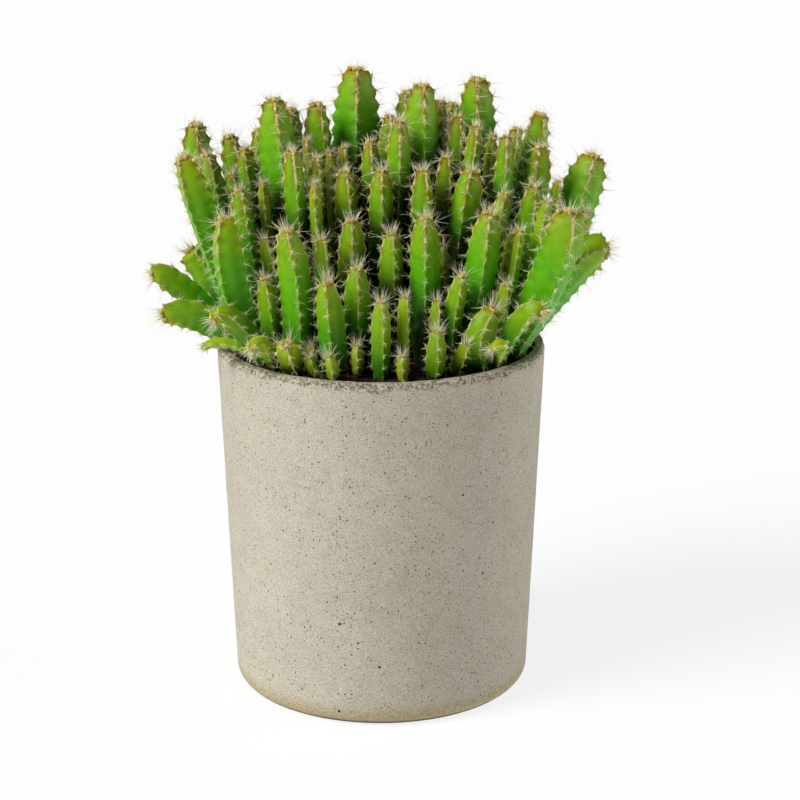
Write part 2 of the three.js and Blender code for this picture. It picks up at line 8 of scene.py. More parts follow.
# %% Load the frame
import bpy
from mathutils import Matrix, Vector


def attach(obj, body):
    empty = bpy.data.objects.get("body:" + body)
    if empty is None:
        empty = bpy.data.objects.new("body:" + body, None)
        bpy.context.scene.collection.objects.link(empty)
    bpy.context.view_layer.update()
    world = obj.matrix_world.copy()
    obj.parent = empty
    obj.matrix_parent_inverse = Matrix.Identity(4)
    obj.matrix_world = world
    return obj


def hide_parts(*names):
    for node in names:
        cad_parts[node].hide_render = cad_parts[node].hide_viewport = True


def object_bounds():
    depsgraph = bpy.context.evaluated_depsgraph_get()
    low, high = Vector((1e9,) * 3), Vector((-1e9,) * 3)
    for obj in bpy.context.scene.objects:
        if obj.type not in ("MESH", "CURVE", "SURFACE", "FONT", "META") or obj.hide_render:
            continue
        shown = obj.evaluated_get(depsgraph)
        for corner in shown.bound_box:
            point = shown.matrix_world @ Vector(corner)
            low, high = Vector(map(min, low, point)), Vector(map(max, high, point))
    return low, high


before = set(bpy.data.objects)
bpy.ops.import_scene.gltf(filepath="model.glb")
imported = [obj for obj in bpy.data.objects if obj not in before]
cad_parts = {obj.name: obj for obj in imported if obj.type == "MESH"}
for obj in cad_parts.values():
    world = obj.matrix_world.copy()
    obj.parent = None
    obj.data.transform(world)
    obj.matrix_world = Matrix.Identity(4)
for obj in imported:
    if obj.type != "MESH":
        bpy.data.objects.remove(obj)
CAD_BOX = [list(corner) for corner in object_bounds()]

import math

import bpy
import numpy as np

MM = 0.001
print("parts in the frame:", len(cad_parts))

# %% [markdown]
# ## The camera and the light
# The pot's rim and foot are ellipses in the photograph. Their shapes give the height and the
# distance of the camera, so the camera stands where the photographer's did. The key light is one
# large soft source from the left, as a window or a softbox gives. A weaker one from the right
# does what a white board does there, and a white room lifts the shadows a little. The floor is
# white paper, bright enough that only the pot's soft shadow shows on it.

# %% Camera
CAMERA_PLACE = (0.0, -862.3, 373.5)
CAMERA_TARGET = (7.5, 0.0, 115.6)
FOCAL_LENGTH = 101.25
SENSOR_WIDTH = 36.0


def point_at(thing, place, target):
    """Puts a camera or lamp at a place, looking at a target, both in millimetres."""
    away = np.subtract(target, place)
    across = math.hypot(away[0], away[1])
    thing.location = [value * MM for value in place]
    thing.rotation_euler = (math.atan2(across, -away[2]), 0, math.atan2(-away[0], away[1]))
    bpy.context.scene.collection.objects.link(thing)


camera_data = bpy.data.cameras.new("camera")
camera_data.lens = FOCAL_LENGTH
camera_data.sensor_width = SENSOR_WIDTH
camera_data.clip_end = 100
camera = bpy.data.objects.new("camera", camera_data)
point_at(camera, CAMERA_PLACE, CAMERA_TARGET)
bpy.context.scene.camera = camera
print("camera at", CAMERA_PLACE, "mm, lens", FOCAL_LENGTH, "mm")

# %% Colours and nodes


def linear(hex_colour):
    """An sRGB colour such as "#7A5A10" as linear red, green, blue and alpha."""
    parts = np.array([int(hex_colour[k:k + 2], 16) / 255 for k in (1, 3, 5)])
    values = np.where(parts <= 0.04045, parts / 12.92, ((parts + 0.055) / 1.055) ** 2.4)
    return (*values.tolist(), 1.0)


def add_node(material, kind, inputs=None, **settings):
    """Adds a node. An input is a plain value, or the output of another node to link."""
    node = material.node_tree.nodes.new(kind)
    for key, value in settings.items():
        setattr(node, key, value)
    for key, value in (inputs or {}).items():
        if isinstance(value, bpy.types.NodeSocket):
            material.node_tree.links.new(value, node.inputs[key])
        else:
            node.inputs[key].default_value = value
    return node


def new_material(name):
    """An empty material, ready for its nodes."""
    material = bpy.data.materials.new(name)
    material.use_nodes = True
    material.node_tree.nodes.clear()
    return material


# %% Light, room and floor
# Each light's place in millimetres, and its strength
LIGHTS = {
    "key light": ((-676.0, -360.0, 743.0), 3.6),
    "fill light": ((900.0, 60.0, 260.0), 1.15),
}
LIGHT_TARGET = (0, 0, 100)
LIGHT_ANGLE = 30
ROOM_STRENGTH = 0.08
FLOOR_GLOW = 0.84
FLOOR_SIDE = 30000.0

for label, (light_place, strength) in LIGHTS.items():
    light = bpy.data.lights.new(label, "SUN")
    light.energy = strength
    light.angle = math.radians(LIGHT_ANGLE)
    point_at(bpy.data.objects.new(label, light), light_place, LIGHT_TARGET)

room = bpy.data.worlds.new("white room")
room.use_nodes = True
room.node_tree.nodes["Background"].inputs["Color"].default_value = linear("#FFFFFF")
room.node_tree.nodes["Background"].inputs["Strength"].default_value = ROOM_STRENGTH
bpy.context.scene.world = room
bpy.context.scene.view_settings.view_transform = "Standard"

floor_data = bpy.data.meshes.new("floor")
half_side = FLOOR_SIDE * MM / 2
floor_corners = [(-half_side, -half_side, 0), (half_side, -half_side, 0),
                 (half_side, half_side, 0), (-half_side, half_side, 0)]
floor_data.from_pydata(floor_corners, [], [(0, 1, 2, 3)])
floor = bpy.data.objects.new("floor", floor_data)
bpy.context.scene.collection.objects.link(floor)
paper = new_material("white paper, lit from below")
paper_shader = add_node(paper, "ShaderNodeBsdfPrincipled", {
    "Base Color": linear("#707070"), "Roughness": 1.0, "Specular IOR Level": 0.0,
    "Emission Color": linear("#FFFFFF"), "Emission Strength": FLOOR_GLOW})
add_node(paper, "ShaderNodeOutputMaterial", {"Surface": paper_shader.outputs[0]})
floor_data.materials.append(paper)
print("lights:", ", ".join(LIGHTS), "and a white room of strength", ROOM_STRENGTH)

# %% [markdown]
# ## Where the stems stand
# A clump like this grows from many feet, and its stems spread as they rise. Each plant is a list
# of its stems: the tip's place, the width across the ribs, the number of ribs, the turn of the
# first rib, and for a stem with an elbow its height and how far out it is by then. The list is the
# same one that the frame was made from, and so is the rule that settles it: stems that would
# touch push each other apart a little at a time. With numpy, all pushes of one pass are one sum.

# %% The pot's size
POT_HEIGHT = 141.0
POT_TOP_RADIUS = 65.0
POT_BASE_RADIUS = 59.3
WALL = 4.2
FLOOR = 10.0
BASE_FILLET = 6.0
LIP_ROUND = 2.0
SOIL_TOP = 138.0
CLEARANCE = 0.3


def between(low, high, share):
    """The value at a share of the way from low to high."""
    return low + (high - low) * share


def outer_radius(z):
    """The pot's outer wall is a straight line from the base radius to the top radius."""
    return between(POT_BASE_RADIUS, POT_TOP_RADIUS, z / POT_HEIGHT)


def inner_radius(z):
    """The inner wall runs beside the outer one."""
    return outer_radius(z) - WALL


# %% The plants in sight
FRONT = {
    "stem_front_01": [[-21, -47, 175, 11, 4, -8], [-20, -50, 149, 6, 3, 0], [-28, -46, 147, 6, 3, 20]],
    "stem_front_02": [[-37, -38, 193, 12.5, 4, 9], [-36, -43, 152, 10, 5, 10], [-31, -44, 149, 6, 3, 20]],
    "stem_front_03": [[-9, -36, 178, 10.5, 4, 6], [-9, -44, 151, 6, 3, 0]],
    "stem_front_04": [[0, -47, 168, 8, 4, 15]],
    "stem_front_05": [[9, -40, 168, 6, 3, 30], [8, -50, 148, 6, 3, 0]],
    "stem_front_06": [[21, -47, 157, 8, 4, 10], [22, -36, 166, 5, 3, 35]],
    "stem_front_07": [[17, -29, 196, 12, 4, 0]],
    "stem_front_08": [[32, -37, 175, 8, 4, 12], [33, -45, 152, 6, 3, 30]],
    "stem_front_09": [[48, -38, 163, 13, 5, 5], [60, -40, 163, 10, 4, 25, 150, 0.4],
        [55, -27, 171, 7, 3, 20], [40, -44, 150, 5, 3, 0]],
    "stem_front_10": [[-22, -26, 188, 8, 4, 40], [-12, -21, 193, 11, 4, 4], [-29, -18, 182, 7, 3, 30]],
    "stem_front_11": [[4, -24, 189, 10, 4, 15]],
    "stem_left_01": [[-59, -27, 196, 14.5, 4, -30, 156, 1.35], [-79, -19, 156, 14, 3, 60, 161, 0.15]],
    "stem_left_02": [[-45, -36, 174, 8, 4, 15], [-61, -42, 161, 10, 5, 20, 150, 0.4],
        [-50, -46, 151, 7, 5, 0, 146, 0.5], [-66, -31, 147, 5, 3, 0, 158, 0.4]],
    "stem_left_03": [[-77.5, -6, 216, 15, 4, -32], [-83, -3, 168, 12, 3, 60, 168, 0.3],
        [-72, 9, 174, 12, 4, 30, 165, 0.3]],
    "stem_left_04": [[-66, 3, 214, 10.5, 4, 20], [-54, 8, 216, 9, 4, 0]],
    "stem_right_01": [[42, -21, 197, 13, 4, 5], [49, -17, 187, 6, 3, 0], [25, -18, 183, 7, 3, 10]],
    "stem_right_02": [[67, -29, 200, 17.5, 4, 18, 158, 0.5], [56, -22, 190, 6, 3, 0]],
    "stem_right_03": [[84, -8, 180, 17.5, 3, -12, 152, 0.35], [77, -4, 193, 7, 4, 10]],
    "stem_right_04": [[82, 10, 212, 17, 4, 2, 165, 0.4], [68, -9, 206, 6, 3, 30]],
    "stem_middle_01": [[-15, -8, 210, 10, 4, 20], [-25, -11, 207, 6, 3, 0]],
    "stem_middle_02": [[1, -8, 211, 10, 4, 5]],
    "stem_middle_03": [[16, -11, 211, 10.5, 4, 30]],
    "stem_middle_04": [[37, -8, 210, 13, 4, -12]],
    "stem_middle_05": [[26, 2, 214, 9, 4, 35]],
    "stem_middle_06": [[-35, -9, 219, 9, 4, 15], [-44, -9, 206, 6, 3, 0]],
    "stem_middle_07": [[-54, -11, 204, 10, 4, 25], [-60, -3, 208, 8, 3, 10], [-46, -20, 187, 6, 3, 40]],
    "stem_middle_08": [[58, -10, 205, 10, 4, 20], [51, -9, 202, 8, 4, 0], [63, -14, 200, 7, 3, 0]],
    "stem_middle_09": [[61, 2, 217, 11, 4, -20], [53, 10, 223, 9, 4, 20]],
    "stem_middle_10": [[48, 1, 222, 8, 4, 10], [45, 12, 221, 6, 3, 0]],
    "stem_middle_11": [[-29, 4, 221, 6, 3, 0], [-26, -2, 215, 7, 4, 30]],
    "stem_middle_12": [[-20, 3, 216, 6, 3, 0], [-14, 6, 217, 6, 3, 25], [-5, 3, 220, 8, 4, 10]],
    "stem_back_01": [[-9, 16, 245, 19, 4, 2], [-1, 26, 222, 8, 4, 30]],
    "stem_back_02": [[-23.5, 9, 233, 13, 4, 30], [-33, 20, 229, 10, 4, 0]],
    "stem_back_03": [[-41, 6, 236, 15.5, 4, 10], [-49, 13, 222, 9, 3, 20]],
    "stem_back_04": [[-70.5, 14, 223, 12.5, 4, 15], [-60, 19, 219, 12, 4, 35]],
    "stem_back_05": [[3, 14, 228, 8, 4, 20], [8, 5, 228, 10, 4, 5]],
    "stem_back_06": [[16, 15, 240, 16, 4, 12], [10, 25, 235, 9, 4, 0]],
    "stem_back_07": [[25, 24, 232, 9, 3, 20], [30, 11, 228, 9, 4, 30]],
    "stem_back_08": [[37, 17, 241, 15.5, 4, 0], [39, 8, 226, 7, 4, 15]],
    "stem_back_09": [[62, 15, 227, 13.5, 4, 30]],
}
FEET = {
    "stem_front_02": [-34, -35],
    "stem_front_08": [31, -33],
    "stem_front_09": [45, -29],
    "stem_left_01": [-48, -19],
    "stem_left_02": [-43, -31],
    "stem_left_03": [-51, -3],
    "stem_left_04": [-43, 9],
    "stem_right_01": [34, -19],
    "stem_right_02": [45, -18],
    "stem_right_03": [47, -5],
    "stem_right_04": [46, 8],
    "stem_middle_07": [-38, -11],
    "stem_middle_08": [40, -9],
    "stem_middle_09": [41, 3],
    "stem_middle_10": [33, 5],
    "stem_back_03": [-36, 9],
    "stem_back_04": [-49, 12],
    "stem_back_09": [41, 17],
}
print("plants in sight:", len(FRONT))

# %% The far side
GOLDEN = 0.618034
FAR_RINGS = [
    {"reach": 75, "height": 176, "width": 12.5, "elbow": 158},
    {"reach": 56, "height": 208, "width": 13, "elbow": 0},
]
FAR_LOW = {"count": 5, "reach": 54, "height": 166, "width": 10, "from": 38, "to": 134, "elbow": 0}
INNER_FAR = {"count": 5, "reach": 36, "height": 223, "width": 12, "from": 40, "to": 144, "elbow": 0}
FAR_COUNT = 7
FAR_FROM = 20
FAR_TO = 152
RING_TURN = 9
RING_SHIFT = 4
REACH_SPREAD = 4
HEIGHT_SPREAD = 9
WIDTH_SPREAD = 1.5
FIVE_RIBS_EVERY = 7
SINGLE_NUMBERS = 40


def vary(n):
    """An even spread of shares from 0 to 1: the fractional part of n times the golden ratio."""
    return (n * GOLDEN) % 1


def nearest(value):
    """The nearest whole number, halves upwards."""
    return math.floor(value + 0.5)


def far_stem(angle, ring, number):
    """One stem of the far side, at an angle that runs from +X towards +Y."""
    reach = ring["reach"] + between(-REACH_SPREAD, REACH_SPREAD, vary(number * 3 + 1))
    x = nearest(reach * math.cos(math.radians(angle)))
    y = nearest(reach * math.sin(math.radians(angle)))
    height = ring["height"] + nearest(between(-HEIGHT_SPREAD, HEIGHT_SPREAD, vary(number * 5 + 2)))
    width = ring["width"] + between(-WIDTH_SPREAD, WIDTH_SPREAD, vary(number * 7 + 3))
    rib_count = 5 if number % FIVE_RIBS_EVERY == 3 else 4
    return [x, y, height, width, rib_count, 90 * vary(number), ring["elbow"]]


def far_plants():
    """Rings of stems that lean out over the rim, and a few inside and below them."""
    plants = {}
    for k in range(FAR_COUNT):
        angle = between(FAR_FROM, FAR_TO, k / (FAR_COUNT - 1))
        plants[f"stem_far_0{k + 1}"] = [
            far_stem(angle + RING_TURN * j - RING_SHIFT, ring, 2 * k + j + 1)
            for j, ring in enumerate(FAR_RINGS)]
    for label, ring in (("inner", INNER_FAR), ("low", FAR_LOW)):
        for k in range(ring["count"]):
            angle = between(ring["from"], ring["to"], k / (ring["count"] - 1))
            plants[f"stem_{label}_0{k + 1}"] = [far_stem(angle, ring, SINGLE_NUMBERS + k)]
    return plants


ROWS = {**FRONT, **far_plants()}
print("plants:", len(ROWS), "stems:", sum(len(rows) for rows in ROWS.values()))

# %% Roots, bends and tips before settling
STEM_START = 134.0
STRAIGHT_REACH = 45.0
LEAN_SHARE = 0.33
WALL_ROOM = 3.5
BEND_SHARE = 0.65
BEND_HEIGHT = 0.42
ELBOW_SHARE = 0.3
FOOT_SHARE = 0.45
FOOT_ZONE = 0.45
CROWN_SHARE = 0.46
CROWN_LENGTH = 2.2


def foot_of(name, rows):
    """A plant's foot: under the mean of its tips, drawn in where that leans out, and its limit."""
    weight = [row[3] ** 2 for row in rows]
    mean = np.average([row[:2] for row in rows], axis=0, weights=weight)
    reach = float(np.hypot(*mean))
    lean = max(0.0, reach - STRAIGHT_REACH)
    widest = max(row[3] for row in rows)
    limit = inner_radius(SOIL_TOP) - WALL_ROOM - FOOT_SHARE * widest / 2
    drawn = min(limit, reach - lean * (1 - LEAN_SHARE)) / reach
    return FEET.get(name) or (mean * drawn).tolist(), limit


NAMES = list(ROWS)
feet, limits = zip(*(foot_of(name, rows) for name, rows in ROWS.items()))
foot = np.array(feet, float)
foot_home = foot.copy()
foot_limit = np.array(limits)
stem_plant = np.array([p for p, rows in enumerate(ROWS.values()) for _ in rows])
stem_rows = [row + [0, ELBOW_SHARE][len(row) - 6:] for rows in ROWS.values() for row in rows]
tip = np.array([row[:3] for row in stem_rows], float)
radius = np.array([row[3] / 2 for row in stem_rows])
ribs = np.array([row[4] for row in stem_rows])
turn = np.radians([row[5] for row in stem_rows])
elbow = np.array([row[6] for row in stem_rows], float)
elbow_share = np.array([row[7] for row in stem_rows])
bend_share = np.where(elbow > 0, elbow_share, BEND_SHARE)
bend = between(foot[stem_plant], tip[:, :2], bend_share[:, None])
bend_height = np.where(elbow > 0, elbow, between(STEM_START, tip[:, 2], BEND_HEIGHT))
tip_home = tip.copy()
print("widest stem:", 2 * radius.max(), "mm")

# %% Settling
PASSES = 200
SAMPLES = 18
FIRST_SAMPLE = 0.7
NEARBY = 30.0
STEM_GAP = 1.0
PUSH = 0.06
INWARD_PUSH = 0.5 * PUSH
LIFT_PUSH = 4 * PUSH
ARCH_MOST = 7
RIM_GAP = 1.5
HOLD = 0.03
HOLD_FADE = 1.4
BEND_HOLD = 4
ROOT_GIVE = 0.4
TIP_SIDEWAYS = 0.35
FORK_FROM = 0.12
FORK_LENGTH = 0.2


def girth(t, slimness):
    """Share of the full width along a stem: a quarter sine at the foot, an ellipse at the crown."""
    rise = between(FOOT_SHARE, 1, np.sin(np.minimum(1, t / FOOT_ZONE) * math.pi / 2))
    crown = np.maximum(0, 1 - (1 - t) / (CROWN_LENGTH * slimness))
    return rise * np.sqrt(1 - (1 - CROWN_SHARE ** 2) * crown ** 2)


def curve_points(stems, t):
    """Points of quadratic curves from the foot over the bend to the tip, one for each t."""
    start = np.column_stack([foot[stem_plant[stems]], np.full(len(stems), STEM_START)])
    middle = np.column_stack([bend[stems], bend_height[stems]])
    a, b, c = (1 - t) ** 2, 2 * t * (1 - t), t ** 2
    return a[:, None] * start + b[:, None] * middle + c[:, None] * tip[stems]


def summed(index, values, size):
    """The sum of the values that share an index."""
    return np.bincount(index, weights=values, minlength=size)


def settle():
    """Beads along every stem push each other sideways, and a fading pull holds each at home."""
    count = len(tip)
    bead_stem = np.repeat(np.arange(count), SAMPLES)
    bead_plant = stem_plant[bead_stem]
    t = np.tile((np.arange(SAMPLES) + FIRST_SAMPLE) / SAMPLES, count)
    straight = np.linalg.norm(
        tip - np.column_stack([foot[stem_plant], np.full(count, STEM_START)]), axis=1)
    bead_radius = radius[bead_stem] * girth(t, (radius / straight)[bead_stem])
    place = curve_points(bead_stem, t)
    first, second = np.triu_indices(len(t), 1)
    apart = np.linalg.norm(place[first] - place[second], axis=1)
    near = (bead_stem[first] != bead_stem[second]) & (apart <= NEARBY)
    first, second = first[near], second[near]
    fork = np.clip((np.minimum(t[first], t[second]) - FORK_FROM) / FORK_LENGTH, 0, 1)
    need = bead_radius[first] + bead_radius[second] + STEM_GAP
    need *= np.where(bead_plant[first] == bead_plant[second], fork, 1)
    root_share, bend_part, tip_share = (1 - t) ** 2, 2 * t * (1 - t), t ** 2
    for step in range(PASSES):
        place = curve_points(bead_stem, t)
        gap = place[second] - place[first]
        distance = np.linalg.norm(gap, axis=1)
        sideways = np.hypot(gap[:, 0], gap[:, 1])
        strength = PUSH * np.maximum(0, need - distance) / (sideways + 0.001)
        for axis in (0, 1):
            push = strength * gap[:, axis]
            move = summed(second, push, len(t)) - summed(first, push, len(t))
            foot[:, axis] += ROOT_GIVE * summed(bead_plant, root_share * move, len(foot))
            bend[:, axis] += summed(bead_stem, bend_part * move, count)
            give = TIP_SIDEWAYS if axis == 0 else 1
            tip[:, axis] += give * summed(bead_stem, tip_share * move, count)
        reach = np.hypot(place[:, 0], place[:, 1])
        aside = np.maximum(0, inner_radius(POT_HEIGHT) - reach)
        above = np.maximum(0, place[:, 2] - POT_HEIGHT)
        over = np.maximum(0, bead_radius + RIM_GAP - np.hypot(aside, above))
        for axis in (0, 1):
            inward = INWARD_PUSH * (1 - t) * over * place[:, axis] / reach
            foot[:, axis] -= summed(bead_plant, inward, len(foot))
        lift = LIFT_PUSH * t * over
        bend_height[:] = np.minimum(bend_height + summed(bead_stem, lift, count), tip[:, 2] + ARCH_MOST)
        hold = HOLD * max(0, 1 - HOLD_FADE * step / PASSES)
        foot[:] += hold * (foot_home - foot)
        foot[:] *= np.minimum(1, foot_limit / np.hypot(foot[:, 0], foot[:, 1]))[:, None]
        tip[:, :2] += hold * (tip_home - tip)[:, :2]
        straight_bend = between(foot[stem_plant], tip[:, :2], bend_share[:, None])
        bend[:] += BEND_HOLD * hold * (straight_bend - bend)


settle()
print("tips moved by up to", round(float(np.abs(tip - tip_home).max()), 1), "mm")

# %% [markdown]
# ## Surfaces as grids
# Each piece below is a grid of points: one parameter runs along it and one runs around it. A
# column of faces closes the way round, and a fan of triangles closes each end at a pole. The
# points come from formulas on whole arrays, and one helper puts them into a Blender mesh.

# %% Grid, pole and mesh helpers


def ring_faces(rows, columns):
    """Quads between neighbouring rows of a grid that closes on itself around."""
    corner = (np.arange(rows - 1)[:, None] * columns + np.arange(columns)).ravel()
    beside = (np.arange(rows - 1)[:, None] * columns + np.roll(np.arange(columns), -1)).ravel()
    return np.column_stack([corner, beside, beside + columns, corner + columns])


def pole_faces(first, columns, pole, upward):
    """A fan of triangles from one ring to a pole, facing up or down."""
    here = first + np.arange(columns)
    there = first + np.roll(np.arange(columns), -1)
    middle = np.full(columns, pole)
    return np.column_stack([here, there, middle] if upward else [there, here, middle])


def closed_grid(points, bottom, top):
    """A grid of shape (rows, columns, 3) with a pole at each end, as points and faces."""
    rows, columns = points.shape[:2]
    vertices = np.vstack([points.reshape(-1, 3), bottom, top])
    size = rows * columns
    triangles = np.vstack([
        pole_faces(0, columns, size, False),
        pole_faces(size - columns, columns, size + 1, True)])
    return vertices, [ring_faces(rows, columns), triangles]


def make_piece(name, parts, materials):
    """One mesh object from parts: dicts of vertices in mm, faces, a material number and values."""
    starts = np.cumsum([0] + [len(part["vertices"]) for part in parts])
    vertices = np.vstack([part["vertices"] for part in parts]) * MM
    faces, kinds = [], []
    for part, start in zip(parts, starts):
        for block in part["faces"]:
            faces.append(block + start)
            kinds.append(np.full(len(block), part.get("material", 0)))
    sizes = np.concatenate([np.full(len(block), block.shape[1]) for block in faces])
    mesh = bpy.data.meshes.new(name)
    mesh.vertices.add(len(vertices))
    mesh.vertices.foreach_set("co", vertices.ravel())
    mesh.loops.add(int(sizes.sum()))
    mesh.loops.foreach_set("vertex_index", np.concatenate([b.ravel() for b in faces]).astype(np.int32))
    mesh.polygons.add(len(sizes))
    mesh.polygons.foreach_set("loop_start", np.concatenate([[0], np.cumsum(sizes)[:-1]]).astype(np.int32))
    mesh.polygons.foreach_set("material_index", np.concatenate(kinds).astype(np.int32))
    mesh.polygons.foreach_set("use_smooth", np.full(len(sizes), True))
    for key in parts[0].get("values", {}):
        layer = mesh.attributes.new(key, "FLOAT", "POINT")
        layer.data.foreach_set("value", np.concatenate([part["values"][key] for part in parts]))
    for material in materials:
        mesh.materials.append(material)
    mesh.update(calc_edges=True)
    piece = bpy.data.objects.new(name, mesh)
    bpy.context.scene.collection.objects.link(piece)
    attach(piece, "root")
    return piece


def triangle_count(piece):
    """How many triangles a piece has once its quads are split."""
    return sum(len(face.vertices) - 2 for face in piece.data.polygons)


print("faces between two rings of 4 points:", len(ring_faces(2, 4)))

# %% Smooth random lumps
LATTICE_SIDE = 32
LATTICE = np.random.default_rng(11).uniform(-1, 1, (LATTICE_SIDE, LATTICE_SIDE, LATTICE_SIDE))


def lumps(points, size):
    """Random values from -1 to 1 on a lattice of the given size, eased between its corners."""
    cell = np.floor(points / size).astype(int)
    part = points / size - cell
    part = part * part * (3 - 2 * part)
    total = np.zeros(points.shape[:-1])
    for corner in np.ndindex(2, 2, 2):
        weight = np.prod(np.where(corner, part, 1 - part), axis=-1)
        index = (cell + corner) % LATTICE_SIDE
        total += weight * LATTICE[index[..., 0], index[..., 1], index[..., 2]]
    return total


print("lattice values from", LATTICE.min().round(2), "to", LATTICE.max().round(2))

# %% [markdown]
# ## Concrete
# The pot is cast concrete: cement paste with fine sand, poured into a smooth mould. Paste against
# the mould comes out matt and even, with pin-holes where air bubbles sat against it. Sand shows
# where the paste has worn off, in a rough speckled band around the outer edge of the rim. Soil
# has stained the rim's top, and damp has left a warmer stain at the foot. So the colour is built
# up in layers, from cloudy patches tens of millimetres wide to sand of half a millimetre, and the
# pin-holes are dots of a cell pattern that also press in the bump. Nothing here shines:
# roughness is near 0.9.

# %% Finish helpers
def per_mm(size):
    """The scale of a pattern whose features are this many millimetres wide."""
    return 1 / (size * MM)


def where(material, *steps):
    """A share: the product of smooth steps, each (pattern, low, high, share at low, at high)."""
    share = 1.0
    for pattern, low, high, start, end in steps:
        step = add_node(material, "ShaderNodeMapRange", {
            "Value": pattern, "From Min": low, "From Max": high, "To Min": start, "To Max": end},
            interpolation_type="SMOOTHSTEP").outputs[0]
        share = step if share == 1.0 else add_node(
            material, "ShaderNodeMath", {0: share, 1: step}, operation="MULTIPLY").outputs[0]
    return share


def paint(material, ground, *layers):
    """Lays colours over a ground colour, each layer as (share, colour)."""
    colour = linear(ground)
    for share, top in layers:
        colour = add_node(material, "ShaderNodeMix", {0: share, 6: colour, 7: linear(top)},
                          data_type="RGBA").outputs[2]
    return colour


def finish_material(material, colour, roughness, height, depth, **plain):
    """Joins colour, roughness and bump in a shader. The depth of the bump is in millimetres."""
    bump = add_node(material, "ShaderNodeBump", {
        "Height": height, "Distance": depth * MM, "Strength": 1.0})
    shader = add_node(material, "ShaderNodeBsdfPrincipled", {
        "Base Color": colour, "Roughness": roughness, "Normal": bump.outputs[0]})
    for key, value in plain.items():
        shader.inputs[key.replace("_", " ")].default_value = value
    add_node(material, "ShaderNodeOutputMaterial", {"Surface": shader.outputs[0]})


print("a pattern of 2 mm features has the scale", per_mm(2))

# %% Concrete material
# Spacing of the holes, and the smallest and largest radius: a cell below zero has no hole
PIN_HOLES = (1.3, -0.42, 0.37)
BUBBLES = (8.0, -0.5, 0.7)
HOLE_EDGE = 0.12
# How far the foot's stain and the worn band wander, and where they fade
FOOT_WANDER, BAND_WANDER = 7.0, 5.0
FOOT_STAIN = (8.0, 14.0)
# Heights over which the painted contact shadow at the lowest edge fades
CONTACT_SHADOW_SPAN = (1.4, 2.8)
BAND_FADE = (139.7, 142.0)
BAND_REACH = (62.9, 63.6)
TOP_FADE = (140.2, 140.6)
TOP_REACH = (63.0, 63.7)
SOILED_REACH = (60.7, 61.3)
SOILED_FADE = (130.0, 134.0)
concrete = new_material("cast concrete")
place = add_node(concrete, "ShaderNodeTexCoord").outputs["Object"]
height_z = add_node(concrete, "ShaderNodeSeparateXYZ", {"Vector": place}).outputs["Z"]
flat_place = add_node(concrete, "ShaderNodeVectorMath", {0: place, 1: (1, 1, 0)},
                      operation="MULTIPLY").outputs[0]
from_axis = add_node(concrete, "ShaderNodeVectorMath", {0: flat_place}, operation="LENGTH").outputs["Value"]
# Cloudy patches, trowel-sized patches, sand and coarse grit: size in millimetres, detail, roughness
cloud, patch, sand, grit = (
    add_node(concrete, "ShaderNodeTexNoise", {
        "Vector": place, "Scale": per_mm(size), "Detail": detail, "Roughness": rough}).outputs[0]
    for size, detail, rough in ((38, 3, 0.5), (7, 4, 0.6), (0.5, 2, 0.7), (1.15, 3, 0.8)))


def dots(material, coordinates, spacing, smallest, largest):
    """Round dots, one in each cell of a pattern: 1 inside a dot and 0 outside, sizes mixed."""
    cells = add_node(material, "ShaderNodeTexVoronoi", {
        "Vector": coordinates, "Scale": per_mm(spacing), "Randomness": 1.0})
    size = add_node(material, "ShaderNodeSeparateColor", {"Color": cells.outputs["Color"]})
    reach = add_node(material, "ShaderNodeMapRange", {
        "Value": size.outputs[0], "From Min": 0.0, "From Max": 1.0,
        "To Min": smallest / spacing, "To Max": largest / spacing}).outputs[0]
    inside = add_node(material, "ShaderNodeMath", {0: reach, 1: cells.outputs["Distance"]},
                      operation="SUBTRACT").outputs[0]
    return where(material, (inside, 0.0, HOLE_EDGE / spacing, 0, 1))


def over(pattern, span, start, end):
    """A step for where(): from one share to another over a span in millimetres."""
    return pattern, span[0] * MM, span[1] * MM, start, end


